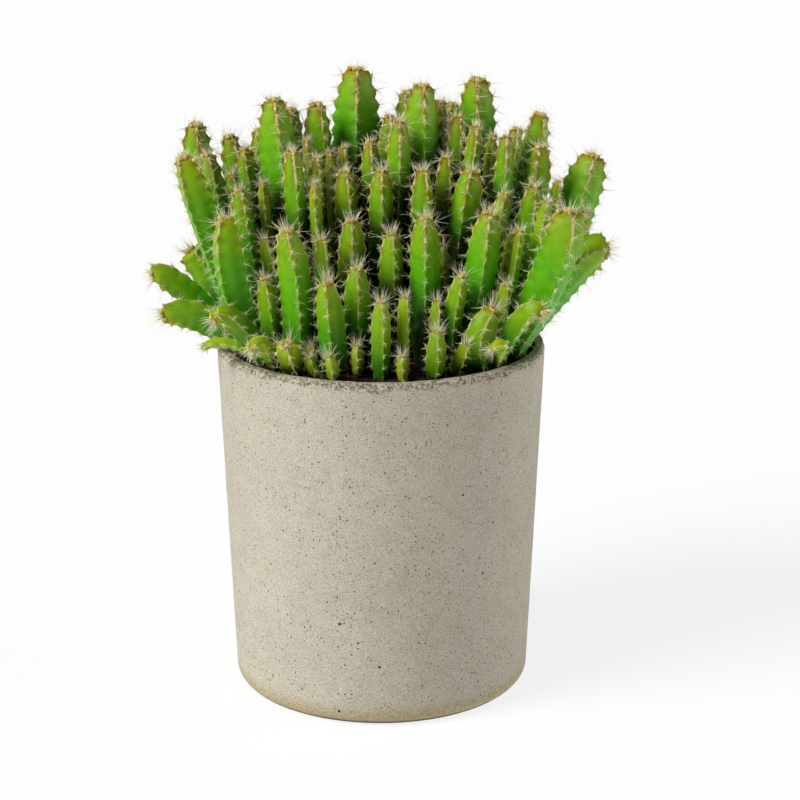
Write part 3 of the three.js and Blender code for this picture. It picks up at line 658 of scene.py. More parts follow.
# The damp line at the foot and the lower edge of the worn band wander with the patches
foot_line, rim_line = (
    add_node(concrete, "ShaderNodeMath", {0: patch, 1: wander * MM, 2: height_z},
             operation="MULTIPLY_ADD").outputs[0] for wander in (FOOT_WANDER, BAND_WANDER))
on_band = [over(rim_line, BAND_FADE, 0, 1), over(from_axis, BAND_REACH, 0, 1)]
on_top = [over(height_z, TOP_FADE, 0, 1), over(from_axis, TOP_REACH, 1, 0)]
soiled = [over(from_axis, SOILED_REACH, 0.9, 0), over(height_z, SOILED_FADE, 0, 1)]
holes = add_node(concrete, "ShaderNodeMath", {
    0: dots(concrete, place, *PIN_HOLES),
    1: dots(concrete, place, *BUBBLES)}, operation="MAXIMUM").outputs[0]
paste = paint(
    concrete, "#BAB3A2",
    # Cloudy and trowel-sized patches
    (where(concrete, (cloud, 0.35, 0.65, 0, 0.5)), "#B0A998"),
    (where(concrete, (patch, 0.42, 0.72, 0, 0.28)), "#9A9280"),
    # The warm stain of the foot, with dark and light sand over it
    (where(concrete, over(foot_line, FOOT_STAIN, 0.85, 0)), "#A89870"),
    (where(concrete, (sand, 0.3, 0.48, 0.75, 0)), "#6B6250"),
    (where(concrete, (sand, 0.54, 0.7, 0, 0.6)), "#DAD5C8"),
    # The lowest edge, darkened as a painted contact shadow where the pot meets the floor
    (where(concrete, over(height_z, CONTACT_SHADOW_SPAN, 0.9, 0)), "#3A3222"),
    # The worn band: dark and light grit
    (where(concrete, *on_band, (grit, 0.44, 0.52, 0.85, 0.1)), "#615032"),
    (where(concrete, *on_band, (grit, 0.52, 0.62, 0, 0.7)), "#D8CCAA"),
    # Soil on the flat top of the rim, and down its inside
    (where(concrete, *on_top, (cloud, 0.4, 0.6, 0.1, 0.6)), "#9C8E72"),
    (where(concrete, *on_top, (grit, 0.38, 0.52, 0.8, 0)), "#5A4C39"),
    (where(concrete, *soiled), "#54442F"),
    # Pin-holes and bubbles painted near black: painted shade inside the holes
    (where(concrete, (holes, 0, 1, 0, 0.95)), "#2C261B"))
band_relief = where(concrete, *on_band)
grain = add_node(concrete, "ShaderNodeMath", {0: band_relief, 1: 0.9, 2: 0.22},
                 operation="MULTIPLY_ADD").outputs[0]
relief = add_node(concrete, "ShaderNodeMath", {0: sand, 1: grain}, operation="MULTIPLY").outputs[0]
relief = add_node(concrete, "ShaderNodeMath", {0: holes, 1: -0.8, 2: relief},
                  operation="MULTIPLY_ADD").outputs[0]
finish_material(concrete, paste, where(concrete, (patch, 0.3, 0.7, 0.86, 0.96)), relief, 0.5,
                Specular_IOR_Level=0.25)
print("concrete: pin-holes about every", PIN_HOLES[0], "mm, bubbles every", BUBBLES[0], "mm")

# %% [markdown]
# ## The pot
# A pot like this is a profile turned about an axis: out along the base, up the wall, over the
# lip and down inside. The mould was smooth but not perfect, so the wall waves by a tenth of a
# millimetre. The outer edge of the lip is worn: it has small nicks, and a rough band below it.

# %% Pot profile
BASE_STEPS = 8
CORNER_STEPS = 9
WALL_STEPS = 90
BAND_STEPS = 9
TOP_STEPS = 3
INNER_CORNER_STEPS = 5
INSIDE_STEPS = 12
FLOOR_STEPS = 4
BAND_START = 134.0
INNER_LIP_ROUND = 1.0


def corner_arc(centre_radius, centre_height, bend_radius, start, end, steps):
    """Points of a round corner, as [radius, height] rows, between two angles in degrees."""
    angle = np.radians(np.linspace(start, end, steps))
    return np.column_stack([centre_radius + bend_radius * np.cos(angle),
                            centre_height + bend_radius * np.sin(angle)])


def straight_run(first, last, steps):
    """Points between two ends, without the ends themselves."""
    share = np.linspace(0, 1, steps + 2)[1:-1, None]
    return between(np.array(first), np.array(last), share)


lip_height = POT_HEIGHT - LIP_ROUND
base_corner = corner_arc(
    outer_radius(BASE_FILLET) - BASE_FILLET, BASE_FILLET, BASE_FILLET, -90, 0, CORNER_STEPS)
outer_lip = corner_arc(outer_radius(lip_height) - LIP_ROUND, lip_height, LIP_ROUND, 0, 90, CORNER_STEPS)
inner_lip = corner_arc(
    inner_radius(lip_height) + INNER_LIP_ROUND, POT_HEIGHT - INNER_LIP_ROUND, INNER_LIP_ROUND,
    90, 180, INNER_CORNER_STEPS)
band_foot = [outer_radius(BAND_START), BAND_START]
inner_floor = [inner_radius(FLOOR), FLOOR]
profile = np.vstack([
    straight_run([0, 0], base_corner[0], BASE_STEPS), base_corner,
    straight_run(base_corner[-1], band_foot, WALL_STEPS),
    straight_run(band_foot, outer_lip[0], BAND_STEPS), outer_lip,
    straight_run(outer_lip[-1], inner_lip[0], TOP_STEPS), inner_lip,
    straight_run(inner_lip[-1], inner_floor, INSIDE_STEPS), [inner_floor],
    straight_run(inner_floor, [0, FLOOR], FLOOR_STEPS)])
print("pot profile:", len(profile), "points")

# %% Pot mesh
POT_SIDES = 600
# The wall's waves, the band's wear and the lumps of the soil are each (height, length) in mm
WALL_WAVES = ((0.12, 24.0), (0.05, 6.0))
WEAR = 0.2
WEAR_LUMPS = ((0.2, 1.3), (0.16, 3.1))
WEAR_HEIGHT, WEAR_FADE = 139.6, 1.3
NICKS = 26
NICK_WIDTHS = (1.2, 4.0)
NICK_DEPTHS = (0.25, 0.8)
NICK_HEIGHT, NICK_FADE = 140.2, 1.6
TOP_WEAR, TOP_LUMPS = 0.12, 4.0
FLAT_FOOT = 1.0


def relief_of(points, waves):
    """The sum of lumps of several sizes, each (height, length) in millimetres."""
    return sum(height * lumps(points, length) for height, length in waves)


def pot_points():
    """The profile turned about Z, then pushed in along the radius by waves, wear and nicks."""
    angle = np.linspace(0, 2 * math.pi, POT_SIDES, endpoint=False)
    reach = profile[:, 0][:, None]
    height = np.broadcast_to(profile[:, 1][:, None], (len(profile), POT_SIDES))
    points = np.stack([reach * np.cos(angle), reach * np.sin(angle), height], axis=-1)
    wave = relief_of(points, WALL_WAVES)
    outer_half = reach > inner_radius(SOIL_TOP) + WALL / 2
    band = np.exp(-((height - WEAR_HEIGHT) / WEAR_FADE) ** 2) * outer_half
    wear = band * (WEAR + relief_of(points, WEAR_LUMPS))
    rng = np.random.default_rng(5)
    nick_angle = rng.uniform(0, 2 * math.pi, NICKS)
    nick_width = rng.uniform(*NICK_WIDTHS, NICKS) / POT_TOP_RADIUS
    nick_depth = rng.uniform(*NICK_DEPTHS, NICKS)
    away = np.angle(np.exp(1j * (angle[:, None] - nick_angle)))
    nick = (nick_depth * np.exp(-(away / nick_width) ** 2)).sum(axis=1)
    nick = nick * np.exp(-((height - NICK_HEIGHT) / NICK_FADE) ** 2) * outer_half
    outside = reach > outer_radius(height) - LIP_ROUND - 1
    push = np.where(outside & (height > FLAT_FOOT), np.abs(wave) + wear + nick, 0)
    shrink = 1 - push / np.maximum(reach, 1)
    points[..., 0] *= shrink
    points[..., 1] *= shrink
    points[..., 2] -= (height > POT_HEIGHT - 0.5) * TOP_WEAR * (1 + lumps(points, TOP_LUMPS))
    return points


pot_vertices, pot_faces = closed_grid(pot_points(), [[0, 0, 0]], [[0, 0, FLOOR]])
pot = make_piece("pot_concrete", [{"vertices": pot_vertices, "faces": pot_faces}], [concrete])
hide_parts("pot")
print("pot:", triangle_count(pot), "triangles")

# %% [markdown]
# ## Soil
# Potting mix is dark bark, peat and coir: crumbs of a millimetre or two on an uneven bed, with
# brown fibres lying across. The bed is a grid with poles, raised by lumps of two sizes. The
# crumbs are one rough ball, repeated at many sizes, and the fibres are thin bent tubes. Damp peat
# is nearly black, and dry fibre is red-brown, so the colour runs between the two.

# %% Soil material
soil_skin = new_material("damp potting mix")
place = add_node(soil_skin, "ShaderNodeTexCoord").outputs["Object"]
crumb_tone, dry_patch = (
    add_node(soil_skin, "ShaderNodeTexNoise", {
        "Vector": place, "Scale": per_mm(size), "Detail": detail, "Roughness": 0.65}).outputs[0]
    for size, detail in ((2.0, 4), (14, 2)))
earth = paint(
    soil_skin, "#120A06",
    (where(soil_skin, (crumb_tone, 0.4, 0.66, 0, 0.8)), "#3B2419"),
    (where(soil_skin, (dry_patch, 0.5, 0.7, 0, 0.45)), "#573123"),
    (where(soil_skin, (crumb_tone, 0.62, 0.74, 0, 0.6)), "#8A6450"))
finish_material(soil_skin, earth, where(soil_skin, (crumb_tone, 0.3, 0.7, 0.75, 1.0)), crumb_tone, 0.8,
                Specular_IOR_Level=0.25)

fibre_skin = new_material("coir fibre")
place = add_node(fibre_skin, "ShaderNodeTexCoord").outputs["Object"]
strand = add_node(fibre_skin, "ShaderNodeTexNoise", {
    "Vector": place, "Scale": per_mm(3.0), "Detail": 3.0}).outputs[0]
husk = paint(fibre_skin, "#2E170E", (where(fibre_skin, (strand, 0.4, 0.65, 0, 0.9)), "#7A4628"))
finish_material(fibre_skin, husk, where(fibre_skin, (strand, 0.3, 0.7, 0.7, 0.9)), strand, 0.1,
                Specular_IOR_Level=0.3)
print("soil: crumbs of 2 mm, and fibres")

# %% Soil bed
BED_RINGS = 56
BED_SIDES = 320
BED_LUMPS = ((0.7, 17.0), (0.5, 4.6), (0.4, 1.9))
BED_EDGE_RISE = 0.6
BED_EDGE_FROM = 0.86
BED_EDGE_DROP = 2.0


def bed_height(points):
    """How high the soil stands over its mean level: broad mounds, lumps and crumbs."""
    edge = np.hypot(points[..., 0], points[..., 1]) / inner_radius(SOIL_TOP)
    edge_share = np.clip((edge - BED_EDGE_FROM) / (1 - BED_EDGE_FROM), 0, 1)
    return relief_of(points, BED_LUMPS) + BED_EDGE_RISE * edge_share


def bed_points():
    """Rings from the floor of the pot up its wall and in over the top, raised by the lumps."""
    angle = np.linspace(0, 2 * math.pi, BED_SIDES, endpoint=False)
    floor_height = FLOOR + CLEARANCE
    edge = inner_radius(SOIL_TOP - BED_EDGE_DROP) - CLEARANCE
    reach = np.concatenate([[inner_radius(floor_height) - CLEARANCE], np.linspace(edge, 1.0, BED_RINGS)])
    height = np.concatenate([[floor_height], np.full(BED_RINGS, SOIL_TOP)])
    points = np.stack([reach[:, None] * np.cos(angle), reach[:, None] * np.sin(angle),
                       np.broadcast_to(height[:, None], (len(reach), BED_SIDES))], axis=-1)
    points[1:, :, 2] += bed_height(points[1:])
    return points


bed_vertices, bed_faces = closed_grid(bed_points(), [[0, 0, FLOOR + CLEARANCE]], [[0, 0, SOIL_TOP]])
bed = make_piece("soil_bed", [{"vertices": bed_vertices, "faces": bed_faces}], [soil_skin])
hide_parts("soil")
print("soil bed:", triangle_count(bed), "triangles")

# %% Crumbs
CRUMBS = 1500
CRUMB_RINGS = 4
CRUMB_SIDES = 7
CRUMB_LEAST, CRUMB_MOST = 0.35, 1.9
CRUMB_STRETCH = (0.6, 1.25)
CRUMB_LIFT = 0.15
CRUMB_ROUGHNESS = 0.28
WALL_GAP = 2.2


def ball(rings, sides):
    """A unit ball of rings and two poles, as points and faces."""
    up = np.linspace(-math.pi / 2, math.pi / 2, rings + 2)[1:-1]
    around = np.linspace(0, 2 * math.pi, sides, endpoint=False)
    points = np.stack([np.cos(up)[:, None] * np.cos(around), np.cos(up)[:, None] * np.sin(around),
                       np.broadcast_to(np.sin(up)[:, None], (rings, sides))], axis=-1)
    return closed_grid(points, [[0, 0, -1]], [[0, 0, 1]])


def repeated(blocks, size, count):
    """The faces of one shape, repeated for copies that each have this many points."""
    starts = np.arange(count)[:, None, None] * size
    return [(block[None] + starts).reshape(-1, block.shape[1]) for block in blocks]


def scattered(shape, places, sizes):
    """Copies of one shape, each at its place, with its three sizes along X, Y and Z."""
    points, faces = shape
    vertices = (points[None] * sizes[:, None] + places[:, None]).reshape(-1, 3)
    return vertices, repeated(faces, len(points), len(places))


def roughened(vertices, depth, size, shifts):
    """Points pushed along X, Y and Z by lumps read at three shifted places."""
    return vertices + depth * np.stack([lumps(vertices + shift, size) for shift in shifts], axis=-1)


def on_soil(rng, count, lift):
    """Random places on the bed, even over its area."""
    reach = np.sqrt(rng.uniform(0, 1, count)) * (inner_radius(SOIL_TOP) - WALL_GAP)
    angle = rng.uniform(0, 2 * math.pi, count)
    flat = np.column_stack([reach * np.cos(angle), reach * np.sin(angle), np.full(count, SOIL_TOP)])
    flat[:, 2] += bed_height(flat) + lift
    return flat


rng = np.random.default_rng(21)
crumb_size = rng.gamma(2.0, 0.32, (CRUMBS, 1)) + CRUMB_LEAST
crumb_size = np.minimum(crumb_size, CRUMB_MOST) * rng.uniform(*CRUMB_STRETCH, (CRUMBS, 3))
crumb_place = on_soil(rng, CRUMBS, CRUMB_LIFT)
crumb_vertices, crumb_faces = scattered(ball(CRUMB_RINGS, CRUMB_SIDES), crumb_place, crumb_size)
crumb_vertices = roughened(crumb_vertices, CRUMB_ROUGHNESS, 0.8, (0, 40, 80))
crumbs = make_piece("soil_crumbs", [{"vertices": crumb_vertices, "faces": crumb_faces}], [soil_skin])
print("crumbs:", CRUMBS, "with", triangle_count(crumbs), "triangles")

# %% Fibres
FIBRES = 420
FIBRE_STEPS = 5
FIBRE_SIDES = 4
FIBRE_LENGTHS = (2.5, 7.5)
FIBRE_RADII = (0.08, 0.22)
FIBRE_RISE = (-0.05, 0.3)
FIBRE_LIFT = 0.5
FIBRE_END_GAP = 2.5
TUBE_TIP_RADIUS = 0.015
TUBE_TIP_LENGTH = 0.02
ASIDE = [0.31, 0.27, 0.91]


def tubes(start, direction, length, thick, sag, steps, sides):
    """Tapering tubes that start at a point and curve by their sag, as points and faces.

    At a share s the middle is start + s * length * direction + s squared * sag, and the radius
    is thick * (1 - s to the power 1.5).
    """
    count = len(start)
    along = np.linspace(0, 1, steps)
    side = np.cross(direction, ASIDE)
    side /= np.linalg.norm(side, axis=1, keepdims=True)
    other = np.cross(direction, side)
    reach = along[None, :, None] * length[:, None, None]
    line = start[:, None] + reach * direction[:, None] + sag[:, None] * (along ** 2)[None, :, None]
    angle = np.linspace(0, 2 * math.pi, sides, endpoint=False)
    circle = (np.cos(angle)[:, None] * side[:, None] + np.sin(angle)[:, None] * other[:, None])
    width = thick[:, None] * (1 - along ** 1.5)[None] + TUBE_TIP_RADIUS
    grid = line[:, :, None] + width[:, :, None, None] * circle[:, None]
    caps = np.stack([line[:, 0], line[:, -1] + TUBE_TIP_LENGTH * direction], axis=1)
    vertices = np.concatenate([grid.reshape(count, -1, 3), caps], axis=1)
    size = steps * sides
    blocks = [ring_faces(steps, sides), np.vstack([
        pole_faces(0, sides, size, False), pole_faces(size - sides, sides, size + 1, True)])]
    return vertices.reshape(-1, 3), repeated(blocks, size + 2, count)


rng = np.random.default_rng(22)
fibre_angle = rng.uniform(0, 2 * math.pi, FIBRES)
fibre_way = np.column_stack([np.cos(fibre_angle), np.sin(fibre_angle), rng.uniform(*FIBRE_RISE, FIBRES)])
fibre_way /= np.linalg.norm(fibre_way, axis=1, keepdims=True)
fibre_length = rng.uniform(*FIBRE_LENGTHS, FIBRES)
fibre_start = on_soil(rng, FIBRES, FIBRE_LIFT)
fibre_end = np.hypot(*(fibre_start + fibre_way * fibre_length[:, None])[:, :2].T)
inside = fibre_end < inner_radius(SOIL_TOP) - FIBRE_END_GAP
fibre_sag = rng.normal(0, 1.0, (FIBRES, 3)) * [1, 1, 0.3] - [0, 0, 0.6]
fibre_vertices, fibre_faces = tubes(
    fibre_start[inside], fibre_way[inside], fibre_length[inside],
    rng.uniform(*FIBRE_RADII, FIBRES)[inside], fibre_sag[inside], FIBRE_STEPS, FIBRE_SIDES)
fibres = make_piece("soil_fibres", [{"vertices": fibre_vertices, "faces": fibre_faces}], [fibre_skin])
print("fibres:", int(inside.sum()), "with", triangle_count(fibres), "triangles")

# %% [markdown]
# ## Cactus skin
# The flesh is full of water and chlorophyll under a thin waxy skin, so it is satin rather than
# glossy, and light goes a few millimetres into it. New growth at a tip is yellow-green to
# bronze, and grown stems are mid green. The feet are darker towards the soil, partly the older
# skin's own colour and partly painted shade, and skin deep between the stems is painted dark as
# painted shade. The edge of each rib is a thin pale corky line, broken into dashes, and near the
# tips of tall stems it is broader, cream and woolly. The mesh carries these distances as
# attributes: how far a point is below its tip, above the soil and from the nearest rib's edge,
# and how deep it is in the clump, so the colours follow the stem wherever it leans.

# %% Skin material
# How far light goes in, in millimetres, and the shares of that for red, green and blue
LIGHT_DEPTH = 3.5
LIGHT_SHARES = (0.6, 1.0, 0.2)
skin = new_material("waxy cactus skin")
place = add_node(skin, "ShaderNodeTexCoord").outputs["Object"]
below_tip, above_soil, edge, tone, young, painted_shade, sunned = (
    add_node(skin, "ShaderNodeAttribute", attribute_name=name).outputs["Fac"]
    for name in ("below_tip", "above_soil", "edge", "tone", "young", "painted_shade", "sunned"))
blotch, mottle, pores, breaks = (
    add_node(skin, "ShaderNodeTexNoise", {
        "Vector": place, "Scale": per_mm(size), "Detail": detail, "Roughness": rough}).outputs[0]
    for size, detail, rough in ((14, 2, 0.5), (5, 3, 0.55), (0.55, 2, 0.7), (2.6, 2, 0.5)))
new_growth, bronze = (
    add_node(skin, "ShaderNodeMath", {0: pattern, 1: wander, 2: below_tip},
             operation="MULTIPLY_ADD").outputs[0] for pattern, wander in ((blotch, 16.0), (mottle, 7.0)))
flesh = paint(
    skin, "#50A206",
    # From stem to stem; darker towards the soil, partly older skin and partly painted shade;
    # and painted shade deep between the stems, from the depth in the clump
    (where(skin, (tone, 0.2, 1.0, 0, 0.6)), "#70AF08"),
    (where(skin, (above_soil, 2.0, 34.0, 0.8, 0)), "#1E7010"),
    (where(skin, (painted_shade, 3.0, 20.0, 0, 0.98)), "#041A03"),
    # New growth below a tip, and whole young stems
    (where(skin, (new_growth, 10.0, 34.0, 0.64, 0)), "#90A808"),
    (where(skin, (young, 0, 1, 0, 0.6)), "#A2C418"),
    # Bronze from the sun at a tip and along the ribs below it
    (where(skin, (sunned, 0.5, 1.0, 0.3, 0.8), (bronze, 2.0, 9.0, 1, 0)), "#947C08"),
    (where(skin, (sunned, 0.5, 1.0, 0.2, 0.8), (edge, 0.4, 2.0, 1, 0),
           (below_tip, 4.0, 18.0, 1, 0.1)), "#835E10"),
    # Darker mottling and pale pores
    (where(skin, (mottle, 0.45, 0.7, 0, 0.3)), "#35800A"),
    (where(skin, (pores, 0.6, 0.75, 0, 0.2)), "#B0CC44"),
    # The corky line of each rib, and its wool near the tip
    (where(skin, (edge, 0.06, 0.24, 0.6, 0), (breaks, 0.46, 0.6, 0, 1)), "#C4C060"),
    (where(skin, (edge, 0.25, 0.9, 0.8, 0), (below_tip, 5.0, 20.0, 1, 0), (breaks, 0.45, 0.6, 0, 1),
           (sunned, 0.4, 1.0, 0.25, 1)), "#D9CE96"))
satin = where(skin, (mottle, 0.3, 0.7, 0.42, 0.56))
relief = add_node(skin, "ShaderNodeMath", {0: mottle, 1: 2.0, 2: pores},
                  operation="MULTIPLY_ADD").outputs[0]
finish_material(skin, flesh, satin, relief, 0.05,
                Subsurface_Weight=0.4, Subsurface_Scale=LIGHT_DEPTH * MM, Specular_IOR_Level=0.2)
skin.node_tree.nodes["Principled BSDF"].inputs["Subsurface Radius"].default_value = LIGHT_SHARES
print("skin: colours follow the tip, the soil and the ribs' edges")

# %% [markdown]
# ## Ribs, crests and areoles
# Across, a stem is a rounded polygon with a corner at each rib, and its sides sink in a little
# between them. Along a rib, the edge is a row of rounded crests with a narrow notch between them.
# A woolly cushion, the areole, sits on every crest, and spines grow from it. Near the tip the
# notches are deeper, because new growth hasn't filled out yet. So one number says how far the
# surface is from the middle of the stem at any height and any angle, and a grid of such points
# along the curve of the stem is its skin.

# %% Along a stem
CURVE_POINTS = 200
T_STEP = 0.01


def stem_frame(stem, t):
    """Centre, up, front and side at each t. Front is the way to -Y, made square to the stem."""
    index = np.full(len(t), stem)
    centre = curve_points(index, t)
    up = curve_points(index, t + T_STEP) - centre
    up /= np.linalg.norm(up, axis=1, keepdims=True)
    front = np.array([0.0, -1.0, 0.0]) + up * up[:, 1:2]
    front /= np.linalg.norm(front, axis=1, keepdims=True)
    return centre, up, front, np.cross(up, front)


def stem_measure(stem):
    """The length of a stem, and the share t of its curve at a height along it."""
    t = np.linspace(0, 1, CURVE_POINTS)
    points = curve_points(np.full(CURVE_POINTS, stem), t)
    along = np.concatenate([[0], np.cumsum(np.linalg.norm(np.diff(points, axis=0), axis=1))])
    return along[-1], lambda height: np.interp(height, along, t)


print("longest stem:", round(float(max(stem_measure(stem)[0] for stem in range(len(tip)))), 1), "mm")

# %% Across a stem
VALLEY = {3: 0.64, 4: 0.76, 5: 0.83}
EDGE_ROUND = 0.045
RIDGE = 0.06
RIDGE_WIDTH = 0.13
NOTCH_PLACE = 0.45
NOTCH_WIDTH = 0.2


def across_rib(u, count):
    """Share of full radius at u, 0 on a rib and 1 in a valley: a swollen polygon with thin ridges."""
    corner = math.pi / count
    soft = np.sqrt(u ** 2 + EDGE_ROUND ** 2) - EDGE_ROUND * (1 - u)
    side = 1 - math.cos(corner) / np.cos((1 - np.clip(soft, 0, 1)) * corner)
    body = 1 - (1 - VALLEY[count]) * side / (1 - math.cos(corner))
    return body - RIDGE * (1 - np.exp(-(u / RIDGE_WIDTH) ** 2)) * (1 - u)


def tooth(below_crest):
    """How far the edge has sunk, 0 to 1: rounded crests with a narrow notch between them."""
    away = (below_crest % 1 - NOTCH_PLACE) / NOTCH_WIDTH
    return np.exp(-away ** 2)


print("valley of a four-ribbed stem:", round(float(across_rib(1.0, 4)), 2), "of its radius")

# %% A stem's grid
RING_STEP = 0.8
FEWEST_RINGS = 10
RIB_POINTS = 10
# Points crowd towards a rib's edge by this power
RIB_CROWDING = 1.5
# Distance between areoles, also as a share of the radius and a least distance on thin stems
AREOLE_STEP = 5.3
THIN_STEP, LEAST_STEP = 0.9, 1.6
STEP_SPREAD = (0.93, 1.07)
SHIFT_SPREAD = 0.12
UNSHIFTED_TOP = 2.0
# A notch's depth as a share of the radius, on old ribs and at a tip, and its least depth in mm
OLD_NOTCH, TIP_NOTCH, TIP_LENGTH = 0.06, 0.13, 30.0
LEAST_NOTCH = 0.15
NOTCH_REACH = 0.42
# Low stems have shallower notches than tall ones
LOW_NOTCH = 0.5
LOW_TIP, HIGH_TIP = 170.0, 230.0
SWELL, SWELL_LENGTH = 0.02, 7.0
# The crown is a dome of a few rings. Its height is a share of the radius, and its edge is raised
CREST_DROP = 0.25
DOME_SHARES = (0.22, 0.45, 0.7)
CROWN_EDGE, CROWN_EDGE_PLACE = 0.13, 0.16


def stem_surface(stem, rng):
    """A stem's grid: rings along it, points across each rib, and a low dome over the crown."""
    length, share_at = stem_measure(stem)
    wide, count = radius[stem], int(ribs[stem])
    top = length - CREST_DROP * wide
    step = min(AREOLE_STEP, THIN_STEP * wide + LEAST_STEP) * rng.uniform(*STEP_SPREAD)
    height = np.linspace(0, top, max(FEWEST_RINGS, int(top / RING_STEP)))
    share = share_at(height)
    centre, up, front, side = stem_frame(stem, share)
    v = np.linspace(-1, 1, RIB_POINTS + 1)[:-1]
    u = np.sign(v) * np.abs(v) ** RIB_CROWDING
    angle = np.concatenate([turn[stem] + (2 * rib + u) * math.pi / count for rib in range(count)])
    u = np.tile(np.abs(u), count)
    shift = np.repeat(rng.uniform(-SHIFT_SPREAD, SHIFT_SPREAD, count), RIB_POINTS)
    full = wide * girth(share, wide / length)
    highness = between(LOW_NOTCH, 1, np.clip((tip[stem, 2] - LOW_TIP) / (HIGH_TIP - LOW_TIP), 0, 1))
    tipness = np.clip(1 - (top - height) / TIP_LENGTH, 0, 1)
    depth = between(OLD_NOTCH, TIP_NOTCH, tipness) * highness + LEAST_NOTCH / wide
    teeth = tooth((top - height)[:, None] / step + shift * (height < top - UNSHIFTED_TOP)[:, None])
    near_edge = np.exp(-(u / NOTCH_REACH) ** 2)
    reach = full[:, None] * (across_rib(u, count) - depth[:, None] * teeth * near_edge)
    centre_part = np.cos(angle)[:, None] * front[:, None] + np.sin(angle)[:, None] * side[:, None]
    points = centre[:, None] + reach[..., None] * centre_part
    swell = lumps(points, SWELL_LENGTH) * SWELL * wide
    points += swell[..., None] * centre_part
    dome = []
    for part in DOME_SHARES:
        low = between(points[-1], centre[-1], part)
        edge_rise = near_edge * math.exp(-(part / CROWN_EDGE_PLACE - 1) ** 2)
        rise = wide * (CREST_DROP * (1 - (1 - part) ** 2) + CROWN_EDGE * edge_rise)
        dome.append(low + rise[:, None] * up[-1])
    return {"rings": np.concatenate([points, np.array(dome)]),
            "crown": centre[-1] + CREST_DROP * wide * up[-1], "foot": centre[0], "up": up,
            "height": height, "length": length, "top": top, "step": step,
            "shift": shift[::RIB_POINTS], "edge": u * math.pi / count * reach,
            "around": centre_part, "count": count, "wide": wide, "highness": highness}


widest = int(np.argmax(radius))
print("points on the widest stem:", stem_surface(widest, np.random.default_rng(0))["rings"].shape[:2])

# %% Depth in the clump, and the skin's values
CANOPY_REACH = 12.0
SHADE_FROM = 62.0
SHADE_FADE = 24.0
POLE_EDGE = 5.0


def depth_in_clump(points):
    """How deep points are in the clump, in mm: below the tips around them, and in from the rim."""
    apart = np.hypot(points[:, None, 0] - tip[:, 0], points[:, None, 1] - tip[:, 1])
    near = np.exp(-(apart / CANOPY_REACH) ** 2)
    canopy = (near * tip[:, 2]).sum(axis=1) / (near.sum(axis=1) + 1e-9)
    inside = np.clip((SHADE_FROM - np.hypot(points[:, 0], points[:, 1])) / SHADE_FADE, 0, 1)
    return np.maximum(0, canopy - points[:, 2]) * inside


def skin_part(surface, tone_value, young_value):
    """The grid as a closed part with the values that its colours need."""
    vertices, faces = closed_grid(surface["rings"], [surface["foot"]], [surface["crown"]])
    extra = len(surface["rings"]) - len(surface["height"])
    below = np.concatenate([surface["length"] - surface["height"], np.zeros(extra)])
    columns = surface["rings"].shape[1]
    edge_grid = np.vstack([surface["edge"]] + [surface["edge"][-1:]] * extra)
    even = np.ones(len(vertices))
    return {"vertices": vertices, "faces": faces, "values": {
        "below_tip": np.concatenate([np.repeat(below, columns), [surface["length"], 0]]),
        "above_soil": vertices[:, 2] - SOIL_TOP,
        "edge": np.concatenate([edge_grid.ravel(), [POLE_EDGE, POLE_EDGE]]),
        # The depth in the clump, which the skin paints as shade
        "painted_shade": depth_in_clump(vertices),
        "sunned": even * surface["highness"],
        "tone": even * tone_value, "young": even * young_value}}


middle_depth = depth_in_clump(np.array([[0.0, 0.0, SOIL_TOP]]))[0]
print("the soil in the middle is", round(float(middle_depth)), "mm deep in the clump")

# %% [markdown]
# ## Wool and spines
# An areole is a cushion of short brown and cream wool, about a millimetre across. Its spines are
# thin, stiff and whitish: a star of short ones that lie near the skin, and one or two that stand
# out. At the crown they crowd together and fan up. A spine is a three-sided tube that narrows to
# a point, which is enough at this size. Young spines are pale, like horn, and old ones turn
# olive. Spines deep in the clump are also painted olive as painted shade, so each carries its
# age and its shade as one value.

# %% Wool and spine materials
wool = new_material("areole wool")
place = add_node(wool, "ShaderNodeTexCoord").outputs["Object"]
felt = add_node(wool, "ShaderNodeTexNoise", {
    "Vector": place, "Scale": per_mm(0.6), "Detail": 3.0, "Roughness": 0.7}).outputs[0]
age_and_shade = add_node(wool, "ShaderNodeAttribute", attribute_name="age_and_shade").outputs["Fac"]
felt_colour = paint(
    wool, "#B59A3E",
    (where(wool, (felt, 0.38, 0.6, 0, 0.9)), "#EADFA0"),
    (where(wool, (age_and_shade, 0.4, 1.0, 0, 0.7)), "#94702A"))
finish_material(wool, felt_colour, where(wool, (felt, 0.3, 0.7, 0.85, 1.0)), felt, 0.15,
                Specular_IOR_Level=0.1)

spine_skin = new_material("cactus spine")
place = add_node(spine_skin, "ShaderNodeTexCoord").outputs["Object"]
grain = add_node(spine_skin, "ShaderNodeTexNoise", {
    "Vector": place, "Scale": per_mm(1.6), "Detail": 2.0}).outputs[0]
age_and_shade = add_node(spine_skin, "ShaderNodeAttribute", attribute_name="age_and_shade").outputs["Fac"]
horn = paint(
    spine_skin, "#EFE8BE",
    (where(spine_skin, (grain, 0.35, 0.65, 0, 1)), "#F7F1D0"),
    # Olive with age, and deep in the clump as painted shade
    (where(spine_skin, (age_and_shade, 0.3, 1.0, 0, 0.85)), "#66702C"))
finish_material(spine_skin, horn, where(spine_skin, (grain, 0.3, 0.7, 0.4, 0.6)), grain, 0.02,
                Specular_IOR_Level=0.4)
# Spines also darken deep in the clump as painted shade
print("wool and spines: pale, and darker with age")

# %% Areoles and single spines
LOWEST_AREOLE = 5.0
SPINE_STEPS = 2
SPINE_SIDES = 3
SPINE_BEND = 0.09
SHORTEST_SPINE = 0.6
ROOT_DEPTH = 0.1
# Spines thin out with their depth in the clump, from one depth and over a further stretch
DEEP_FROM, DEEP_FADE, DEEP_MOST = 10.0, 15.0, 0.93
LOW, HIGH = (np.array(corner) / MM for corner in CAD_BOX)
INSET = 0.3


